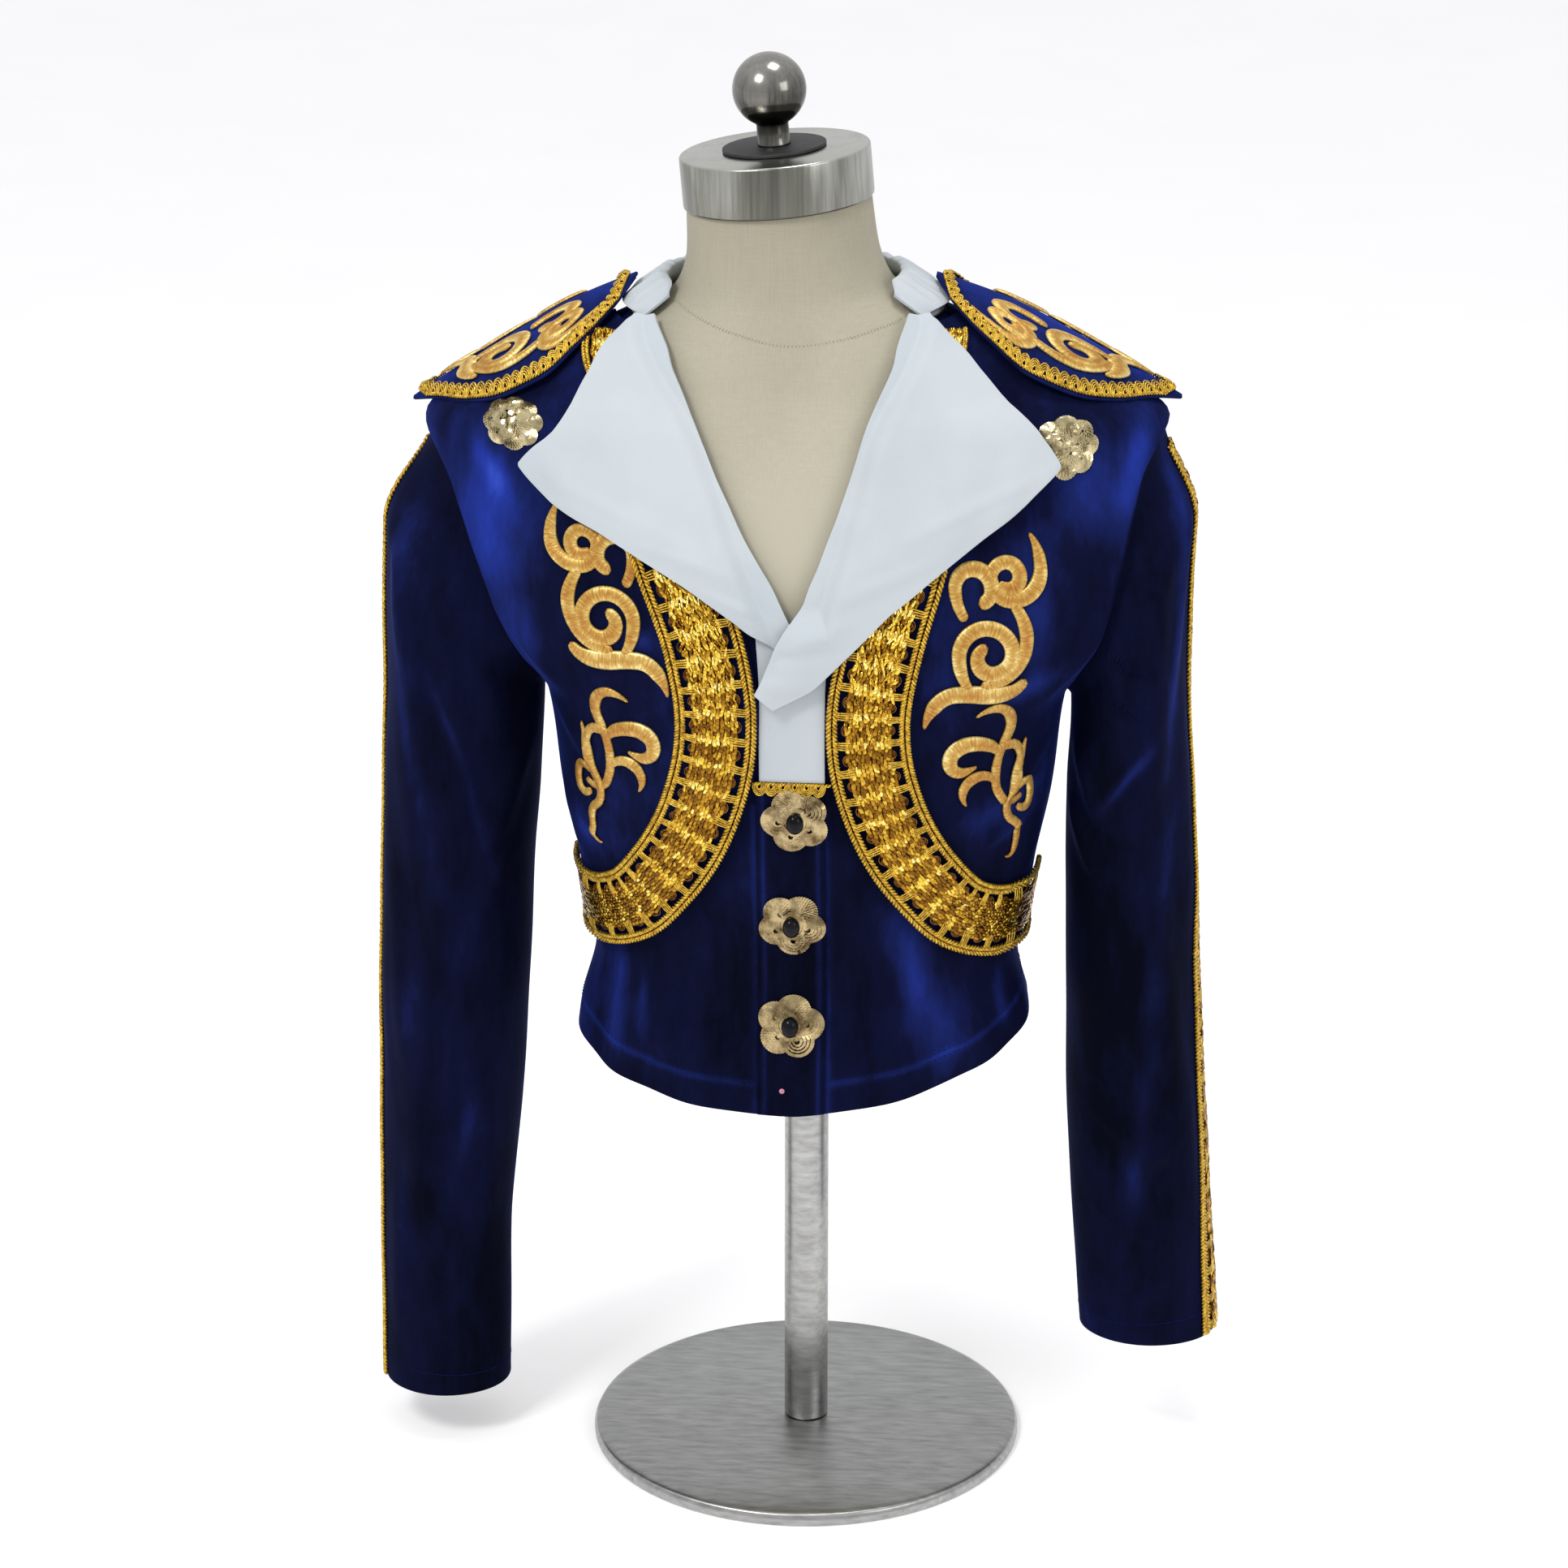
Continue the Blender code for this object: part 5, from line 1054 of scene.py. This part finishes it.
def make_sleeve_galloon(word, hand):
    def place_at(distance, w, out):
        distance, w = spread(distance, w)
        z = SLEEVE_GALLOON_TOP - distance
        inner, outer, _, half_depth = sleeve_at[hand](z)
        back = np.interp(z, *zip(*SLEEVE_GALLOON_BACK[hand]))
        turn = (w - GALLOON_WIDTH / 2 + back) / half_depth
        point = sleeve_cloth(hand, turn, (SHOULDER_POINT - z) / (SHOULDER_POINT - CUFF[hand]))
        facing = unit_rows(np.stack(
            [np.cos(turn) * 2 / (outer - inner) * hand, np.sin(turn) / half_depth, 0 * turn], axis=-1))
        return point + facing * (0.3 + 0.8 * np.asarray(out))[..., None]
    make_galloon(f"side_galloon_{word}", f"sleeve_galloon_{word}", place_at, 0.0,
                 SLEEVE_GALLOON_TOP - CUFF[hand] - 1.5, 14.0, lambda d: 0.3 + 0 * d)


def make_gimp(name, replaced, place_at, length):
    """Scalloped gimp: shell loops of four threads on a two-ply cord."""
    cord = strands(twisted(place_at, 0.0, length, 1.4, 0.7, 4.2), 0.75)
    shells = []
    a = np.linspace(-0.15, math.pi + 0.15, 9)
    for d in np.arange(3.8, length - 3.0, 7.0):
        for radius in (4.9, 3.8, 2.7, 1.6):
            shells.append(place_at(d + radius * 0.84 * np.cos(a), 1.9 + radius * 1.3 * np.sin(a),
                                   0.9 + 1.1 * np.sin(a) + (4.9 - radius) * 0.25))
    settle(join([cord, strands(shells, 0.6)]), name, cord_gold, [replaced])


WING_GIMP_IN = 0.985


def make_wing_gimp(word, hand):
    first, last = WING[0][0], WING[-1][0]
    share = np.linspace(0, 1, 400)
    along = first + 3 + (last - first - 7) * (0.5 - 0.5 * np.cos(math.pi * share))
    edge = WING_GIMP_IN * np.minimum(1.0, 2.5 * np.sin(math.pi * share))
    outline_along = np.concatenate([along, along[::-1]])
    outline_across = np.concatenate([-edge, edge[::-1]])
    lengths = distances(wing_cloth(hand, outline_along, outline_across, WING_THICK))

    def place_at(distance, w, out):
        distance, w, out = spread(distance, w, out)
        a = np.interp(distance, lengths, outline_along)
        c = np.interp(distance, lengths, outline_across)
        a = a + ((first + last) / 2 - a) * w / 90
        half_depth = np.maximum(wing_at(a)[1], 8.0)
        c = c * (1 - w / np.maximum(half_depth, w + 1))
        return wing_cloth(hand, a, c, WING_THICK + 0.4 + out)
    make_gimp(f"wing_gimp_{word}", f"wing_braid_{word}", place_at, lengths[-1])


def make_placket_gimp():
    def place_at(distance, w, out):
        distance, w, out = spread(distance, w, out)
        return cloth(-23 + distance, INSERT_FOOT + 0.5 - w, PLACKET_OUT + CLOTH + 0.3 + out)
    make_gimp("head_gimp", "placket_gimp", place_at, 46.0)


# Scrolls in satin stitch: start (towards the centre front, up), heading, arcs (length, turn), and widths
UPPER_SCROLL = (
    ((-27, 71), 235, ((21, 35), (27, 90), (20, 92), (14, 90), (13, 90), (10, 90), (7, 90)),
     (1.5, 6, 7.5, 8, 7, 7, 7, 8, 6)),
    ((4, 33), 180, ((12, -85), (16, -80), (19, -105), (20, -35)), (7, 8, 8, 7.5, 6, 5)),
    ((-16, 33), 232, ((20, 30), (12, 25), (22, 50), (12, 20)), (5, 7, 8, 7.5, 5)),
    ((-1, 7.5), 0, ((10, -90), (15, -90), (18, -90), (25, -90), (25, -90), (24, -38)),
     (6, 8.5, 8.5, 8, 8, 8, 7, 4)),
    ((-24.5, -13), -60, ((13, 45), (16, 25), (16, -12), (13, -45), (18, -35)), (5, 9, 10, 9, 8, 1)),
)
LOWER_SCROLL = (
    ((15, 27.5), 140, ((12, 30), (15, 80), (14, 48), (12, -8), (16, -20), (14, -25), (11, -60), (10, -50)),
     (0.8, 5, 7, 6, 5, 5.5, 5, 4.5, 3)),
    ((-2, -2), 75, ((12, -50), (13, -25), (10, -38), (11, -72), (10, -80), (9, -15)),
     (3, 7, 8.5, 9, 8, 6, 1)),
    ((-1, -21), 70, ((13, -55), (10, -50), (9, -45), (10, -50)), (3, 5, 6.5, 5, 0.8)),
    ((-21, 7), -75, ((26, 2), (12, 8), (10, -30), (10, -50), (9, 50), (15, 25), (8, 100)),
     (0.8, 5, 6, 6, 5, 5, 5, 4, 0.8)),
    ((-13, -25), 130, ((9, 50), (7, 70), (12, 35), (8, 80), (6, 80)), (4, 5, 5.5, 5, 4)),
    ((1, 4), 160, ((10, 22), (8, 62), (9, 24), (10, 60)), (4, 5.5, 5, 4, 3)),
)
UPPER_SCROLL_AT = {1: (114, 562), -1: (110, 578)}
LOWER_SCROLL_AT = {1: (124, 498), -1: (114, 503)}
BAND_SIDES = 14


def stroke_points(start, heading, arcs):
    x, y = start
    angle = math.radians(heading)
    line, total = [(x, y, angle, 0.0)], 0.0
    for length, turn in arcs:
        steps = max(3, int(length / 1.1))
        step, bend = length / steps, math.radians(turn) / steps
        for _ in range(steps):
            x, y = x + step * math.cos(angle + bend / 2), y + step * math.sin(angle + bend / 2)
            angle, total = angle + bend, total + step
            line.append((x, y, angle, total))
    return np.array(line)


def stitched_band(index, stroke, lay, widen):
    """One satin-stitched band, domed over its padding, with its UV map along and over it."""
    start, heading, arcs, widths = stroke
    line = stroke_points(start, heading, arcs)
    last, length = len(line) - 1, line[-1, 3]
    half = np.interp(np.linspace(0, 1, len(line)), np.linspace(0, 1, len(widths)), widths) / 2 * widen
    ends = np.minimum(line[:, 3], length - line[:, 3])
    rounded = np.sqrt(np.clip(1 - (1 - np.clip(ends / np.maximum(half, 0.5), 0, 1)) ** 2, 0.0, 1))
    half = half * np.maximum(rounded, 0.04) + 0.15
    rise = 1.1 + 0.22 * np.minimum(half, 4.0)

    piece, mesh, s, t = unit_grid(BAND_SIDES, last)
    i = np.round(t * last).astype(int)
    a = 2 * math.pi * s
    over = half[i] * np.cos(a)
    dome = np.where(np.sin(a) > 0, np.abs(np.sin(a)) ** 0.8, 0.12 * np.sin(a))
    height = rise[i] * np.maximum(rounded[i], 0.25) * dome
    points = lay(line[i, 0] - np.sin(line[i, 2]) * over, line[i, 1] + np.cos(line[i, 2]) * over,
                 0.3 + 0.14 * index + height)
    mesh.vertices.foreach_set("co", (points * MM).ravel())
    corner = np.empty(len(mesh.loops), int)
    mesh.loops.foreach_get("vertex_index", corner)
    uv = np.stack([i / last * length * MM, over / 5.0], axis=1)
    mesh.uv_layers.active.data.foreach_set("uv", uv[corner].ravel())
    edit(lambda: bpy.ops.mesh.remove_doubles(threshold=0.000002), close_ends)
    bpy.ops.object.shade_smooth()
    return piece


def make_scrolls(word, hand):
    def on_chest(at):
        return lambda x, y, out: cloth(hand * (at[0] - x), at[1] + y, SCROLL_OUT - 0.4 + out)

    def on_wing(way):
        def lay(x, y, out):
            along = WING[0][0] + 20 + (71 - y) * 0.92
            return wing_cloth(hand, along, way * (0.06 + 0.70 * (34 - x) / 68), WING_THICK + 0.2 + out)
        return lay
    for part, strokes, lays, widen in (
            ("upper", UPPER_SCROLL, (on_chest(UPPER_SCROLL_AT[hand]),), 1.14),
            ("lower", LOWER_SCROLL, (on_chest(LOWER_SCROLL_AT[hand]),), 1.14),
            ("wing", UPPER_SCROLL, (on_wing(-1), on_wing(1)), 1.35)):
        painted_reflection_bands = [stitched_band(k, stroke, lay, widen) for lay in lays for k, stroke in enumerate(strokes)]
        settle(join(painted_reflection_bands), f"{part}_scroll_{word}", stitch, [f"scroll_{part}_{word}"])


# Sequin flowers and beads

PETAL_SPAN = math.radians(125)
# Rings of petals: how many, how far out, how large (shares of the radius), rise
BUTTON_PETALS = ((5, 0.53, 0.48, 0.5),)
CHEST_PETALS = ((8, 0.66, 0.35, 0.3), (5, 0.30, 0.40, 1.5))


def flower_places(across, up, radius, hole, out_at, spin, rings):
    """Places and frames of a flower's sequins: on each petal, arcs lie one inside the other like scales."""
    rows = []
    for count, petal_at, petal_size, rise in rings:
        for petal in range(count):
            turn = 2 * math.pi * petal / count + spin
            tip_over, tip_out = chance.uniform(-0.3, 0.3, 2)
            for arc, share in enumerate((1.0, 0.77, 0.54, 0.31)):
                reach = petal_size * radius * share
                arc_turns = np.linspace(-PETAL_SPAN, PETAL_SPAN, max(3, int(2 * PETAL_SPAN * reach / 1.5)))
                for a in arc_turns + turn:
                    x = petal_at * radius * math.sin(turn) + reach * math.sin(a)
                    y = petal_at * radius * math.cos(turn) + reach * math.cos(a)
                    if math.hypot(x, y) > hole:
                        rows.append((x, y, rise + 0.5 * arc + 0.35 * (petal % 2), a, tip_over, tip_out))
    # Rings of discs over the middle, higher towards it
    inner = radius * (0.40 if len(rings) > 1 else 0.62)
    for reach in np.arange(hole + 0.8, inner, 2.1):
        for a in np.linspace(0, 2 * math.pi, max(5, int(2 * math.pi * reach / 1.7)))[:-1]:
            high = 1.2 if reach > 0.45 * radius else 2.3
            rows.append((reach * math.sin(a), reach * math.cos(a), high, a, 0.0, -0.1))
    xs, ys, hs, turns, tips_over, tips_out = np.array(rows).T
    centres = cloth(across + xs, up + ys, out_at + hs)
    out = unit_rows(cloth(across + xs, up + ys, out_at + hs + 1) - centres)
    radial = unit_rows(cloth(across + xs + np.sin(turns), up + ys + np.cos(turns), out_at + hs) - centres)
    radial = unit_rows(radial - out * (radial * out).sum(1, keepdims=True))
    around = np.cross(out, radial)
    wobble = chance.uniform(-0.10, 0.10, (2, len(xs), 1))
    tipped = out + around * (tips_over[:, None] + wobble[0])
    out = unit_rows(tipped + radial * (0.34 + tips_out[:, None] + wobble[1]))
    around = unit_rows(np.cross(out, radial))
    return centres, np.cross(around, out), around, out


def make_flower(name, replaced, material, slot, *places):
    """A flower of small thin discs, one at each of its places."""
    deselect()
    bpy.ops.mesh.primitive_cylinder_add(vertices=10, radius=1.5 * MM, depth=0.16 * MM)
    disc = bpy.context.object
    edit(lambda: bpy.ops.mesh.inset(thickness=0.5 * MM))
    settle(scatter(disc, *flower_places(*places)), name, material, [replaced])


def make_ball(name, replaced, material, radius, columns, rows, squash, across, up, out_at, raised=0.0):
    """A squashed ball set upright on the cloth."""
    deselect()
    bpy.ops.mesh.primitive_uv_sphere_add(segments=columns, ring_count=rows, radius=radius * MM)
    ball = bpy.context.object
    edit(lambda: bpy.ops.transform.resize(value=squash))
    base = cloth(across, up, out_at)
    out = unit_rows(cloth(across, up, out_at + 1) - base)
    right = unit_rows(np.cross(np.array([0.0, 0.0, 1.0]), out))
    ball = scatter(ball, (base + out * raised)[None], right[None], np.cross(out, right)[None], out[None])
    settle(ball, name, material, replaced)


PLACKET_FLOWERS = ((2, 462), (-1, 391), (-2, 322))
LAPEL_FLOWERS = (("left", 165, 679), ("right", -165, 695))


def make_flowers():
    trim = PLACKET_OUT + CLOTH + 0.35
    for number, (across, up) in enumerate(PLACKET_FLOWERS, 1):
        lift = 2.0 if number == 1 else 0.6
        make_flower(f"button_flower_{number}", f"placket_flower_{number}", sequin_gold, "gold_sequins",
                    across, up, 19.2, 5.2, trim + lift, number * 0.9, BUTTON_PETALS)
        make_ball(f"button_bead_{number}", [f"placket_bead_{number}"], bead_black, 6.2, 28, 16,
                  (0.86, 1.08, 0.8), across, up, trim + lift + 0.8, 3.6)
    for word, across, up in LAPEL_FLOWERS:
        make_flower(f"chest_flower_{word}", f"lapel_flower_{word}", sequin_pale, "pale_sequins",
                    across, up, 18.8, 1.0, SCROLL_OUT + 0.1, across, CHEST_PETALS)


def make_snap():
    """Back of a press stud showing through at the foot of the placket."""
    make_ball("press_stud", (), pink_paint, 1.7, 20, 10, (1.0, 1.0, 0.4), -7.0, 280.0, PLACKET_OUT + CLOTH)


# Sewing

STITCH, STITCH_GAP = 2.3, 1.1


def stitch_run(across, up, out_at):
    """Short thread lines along a run given by arrays of across and up."""
    lengths = distances(cloth(across, up, out_at))
    made = []
    for d in np.arange(0.5, lengths[-1] - STITCH, STITCH + STITCH_GAP):
        ds = d + np.array([0.0, 0.2, 0.5, 0.8, 1.0]) * STITCH
        a, u = np.interp(ds, lengths, across), np.interp(ds, lengths, up)
        made.append(cloth(a, u, out_at + np.array([-0.25, 0.12, 0.16, 0.12, -0.25])))
    return made


def make_sewing():
    runs = []
    ups = np.linspace(268, 470, 160)
    for across in (-17.0, 16.0):
        runs += stitch_run(across + 0 * ups, ups, PLACKET_OUT + CLOTH)
    for _, hand in SIDES:
        front = hand * np.linspace(24, side(300.0), 160)
        for rise in (17.5, 21.0):
            runs += stitch_run(front, hem_up(HEM_FRONT + 0 * front, front) + rise, CLOTH)
        seam, centre = side(320.0), half_round(320.0)
        behind = np.linspace(seam + 1, centre - 0.5, 160)
        runs += stitch_run(hand * behind, hem_behind(hand * (centre - behind) / (centre - seam)) + 20, CLOTH)
    for _, hand in SIDES:
        drop = 1 - 18 / (SHOULDER_POINT - CUFF[hand])
        for turn in -np.linspace(0, 2 * math.pi, 110)[:-2]:
            a = np.linspace(turn, turn - 0.04, 5)
            runs.append(sleeve_cloth(hand, a, drop, np.array([-0.2, 0.1, 0.16, 0.1, -0.2])))
    settle(strands(runs, 0.22), "top_stitching", blue_thread)


NECK_SEAM = ((-78, 842), (-58, 834), (-27, 816), (3, 802), (34, 807), (57, 816), (86, 827), (100, 836))


def make_form_seam():
    """Hand stitches over the form's neck seam."""
    seam_at, _, lengths = along_path(NECK_SEAM)
    lines = []
    for d in np.arange(1.0, lengths[-1] - 1, 2.3):
        here, way = seam_at(d)
        over = np.array([-way[1], way[0]])
        t = np.linspace(-1, 1, 5)[:, None]
        spot = here + over * t * chance.uniform(0.9, 1.5) + way * t * chance.uniform(-0.4, 0.4)
        across, up = spot.T
        lines.append(cloth(across, up, -1.42 + 0.16 * (1 - t[:, 0] ** 2) - folds(across, up)))
    settle(strands(lines, 0.16), "neck_seam_stitches", pale_thread)


# Form and its fittings

NECK_TOP, NECK_TILT, NECK_Y, NECK_FROM, NECK_OVER = 816.0, math.radians(5), -9.0, 850.0, 52.0
FORM_BOTTOM, KNOB_RADIUS = 315.0, 22.0


def make_form():
    def place(s, t, out):
        up = FORM_BOTTOM + (TORSO[-1][0] - FORM_BOTTOM) * t
        x, y, z = np.moveaxis(ring(2 * math.pi * s, up, inside=1.5 - out), -1, 0)
        tilted = leaned(x, y, z)
        at_neck = ease((up - NECK_FROM) / NECK_OVER)
        tilted[..., 2] += (z + math.tan(NECK_TILT) * x - tilted[..., 2]) * at_neck
        return tilted
    piece = grid_over(place, 128, 200, wrap=True)
    edit(close_ends)
    bpy.ops.object.shade_smooth_by_angle(angle=math.radians(40))
    settle(piece, "form_cover", linen, ["form_body"])


def turned(name, replaced, material, rings, at, tilt=0.0, bevel=0.0):
    """A turned piece drawn down from its top ring (radius, height), its rims bevelled, set in place."""
    def draw():
        for (radius, height), (next_radius, next_height) in zip(rings, rings[1:]):
            step = (0, 0, (next_height - height) * MM)
            bpy.ops.mesh.extrude_region_move(TRANSFORM_OT_translate={"value": step})
            scale = next_radius / radius
            bpy.ops.transform.resize(value=(scale, scale, 1), center_override=(0, 0, next_height * MM))
        bpy.ops.mesh.select_all(action="SELECT")
        bpy.ops.mesh.normals_make_consistent(inside=False)
    deselect()
    radius, height = rings[0]
    bpy.ops.mesh.primitive_circle_add(vertices=96, radius=radius * MM, fill_type="NGON",
                                      location=(0, 0, height * MM))
    piece = bpy.context.object
    edit(draw)
    if bevel:
        round_edges(piece, bevel, 4, 35)
    apply_modifiers(piece)
    bpy.ops.object.shade_smooth_by_angle(angle=math.radians(30))
    bpy.ops.object.transform_apply()
    piece.rotation_euler = (0, -tilt, 0)
    piece.location = [v * MM for v in at]
    bpy.ops.object.transform_apply()
    settle(piece, name, material, [replaced])


def make_fittings():
    top = np.array([float(lean(NECK_TOP)), NECK_Y, NECK_TOP])
    axis = np.array([-math.sin(NECK_TILT), 0, math.cos(NECK_TILT)])
    turned("cap", "neck_cap", cap_metal, ((57, 31), (57, 0)), top + axis * 0.35, NECK_TILT, 1.6)
    turned("cap_disc", "cap_washer", rubber, ((31, 2), (31, 0)), top + axis * 31.7,
           NECK_TILT, 0.5)
    low = math.asin(10 / KNOB_RADIUS)
    middle = 13 + KNOB_RADIUS * math.cos(low)
    ball = [(KNOB_RADIUS * math.sin(a), middle + KNOB_RADIUS * math.cos(a))
            for a in np.linspace(0.02, math.pi - low, 36)]
    turned("ball_knob", "knob", knob_metal,
           (*ball, (9.6, 12), (9.6, 2), (10, 1), (10, 0)), top + axis * 34.05, NECK_TILT)
    turned("pole", "stand_pole", stand_metal,
           ((14, 314.6), (14, 300), (14, 60), (14, 9.35)), (0, 0, 0), bevel=0.8)
    turned("foot", "stand_foot", stand_metal,
           ((132, 9), (136.5, 7), (138, 4), (138, 0)), (0, 0, 0), bevel=0.8)


# Floor, lamps and camera, in metres

# Lamps: name, place, size, power
LAMPS = (("key", (-1.2, -1.6, 2.5), 0.7, 34.0), ("fill", (1.9, -1.4, 1.5), 1.0, 9.0),
         ("top", (0.3, -0.1, 2.6), 0.6, 14.0))
LAMPS_AIM = np.array([0, 0, 0.5])
CAMERA_TARGET, CAMERA_DISTANCE = np.array([-0.0145, 0.0, 0.4443]), 2.9
CAMERA_AZIMUTH, CAMERA_ELEVATION = 5.0, 19.9
# The camera's sensor in millimetres, and how wide the frame is at the body
SENSOR, FRAME_WIDTH = 36.0, 0.97566


def set_stage():
    deselect()
    bpy.ops.mesh.primitive_plane_add(size=36.0, location=(0, 0, -0.0005))
    floor = bpy.context.object
    floor.name = "floor"
    material, tree, shader = new_material(
        "pale_floor", 0.9, Emission_Color=(1.0, 0.985, 0.99, 1), Emission_Strength=0.235)
    tint(tree, shader, object_noise(tree, 6.0), (0.3, (0.92, 0.91, 0.915)), (0.7, (0.94, 0.93, 0.935)))
    floor.data.materials.append(material)
    scene = bpy.context.scene
    if scene.world is None:
        scene.world = bpy.data.worlds.new("studio")
    scene.world.use_nodes = True
    background = scene.world.node_tree.nodes["Background"]
    background.inputs["Color"].default_value = (0.97, 0.98, 1.0, 1)
    background.inputs["Strength"].default_value = 0.75
    for name, place, size, power in LAMPS:
        bpy.ops.object.light_add(type="AREA", location=place)
        lamp = bpy.context.object
        lamp.name = name
        lamp.data.shape, lamp.data.size, lamp.data.size_y = "RECTANGLE", size, size
        lamp.data.energy = power
        aim = LAMPS_AIM - np.array(place)
        tip = math.acos(-aim[2] / np.linalg.norm(aim))
        lamp.rotation_euler = (tip, 0, math.atan2(aim[1], aim[0]) - math.pi / 2)
    scene.view_settings.view_transform = "Standard"
    azimuth, elevation = math.radians(CAMERA_AZIMUTH), math.radians(CAMERA_ELEVATION)
    bpy.ops.object.camera_add()
    camera = bpy.context.object
    level = math.cos(elevation)
    camera.location = CAMERA_TARGET + CAMERA_DISTANCE * np.array(
        [math.sin(azimuth) * level, -math.cos(azimuth) * level, math.sin(elevation)])
    camera.rotation_euler = (math.pi / 2 - elevation, 0, azimuth)
    camera.data.sensor_width, camera.data.lens = SENSOR, SENSOR * CAMERA_DISTANCE / FRAME_WIDTH
    scene.camera = camera


make_form()
make_fittings()
make_back()
for word, hand in SIDES:
    for make in (make_front, make_sleeve, make_bolero, make_wing, make_lapel, make_front_galloon,
                 make_sleeve_galloon, make_wing_gimp, make_scrolls):
        make(word, hand)
for make in (make_placket, make_placket_gimp, make_insert, make_collar, make_flowers, make_sewing,
             make_form_seam, make_snap, set_stage):
    make()
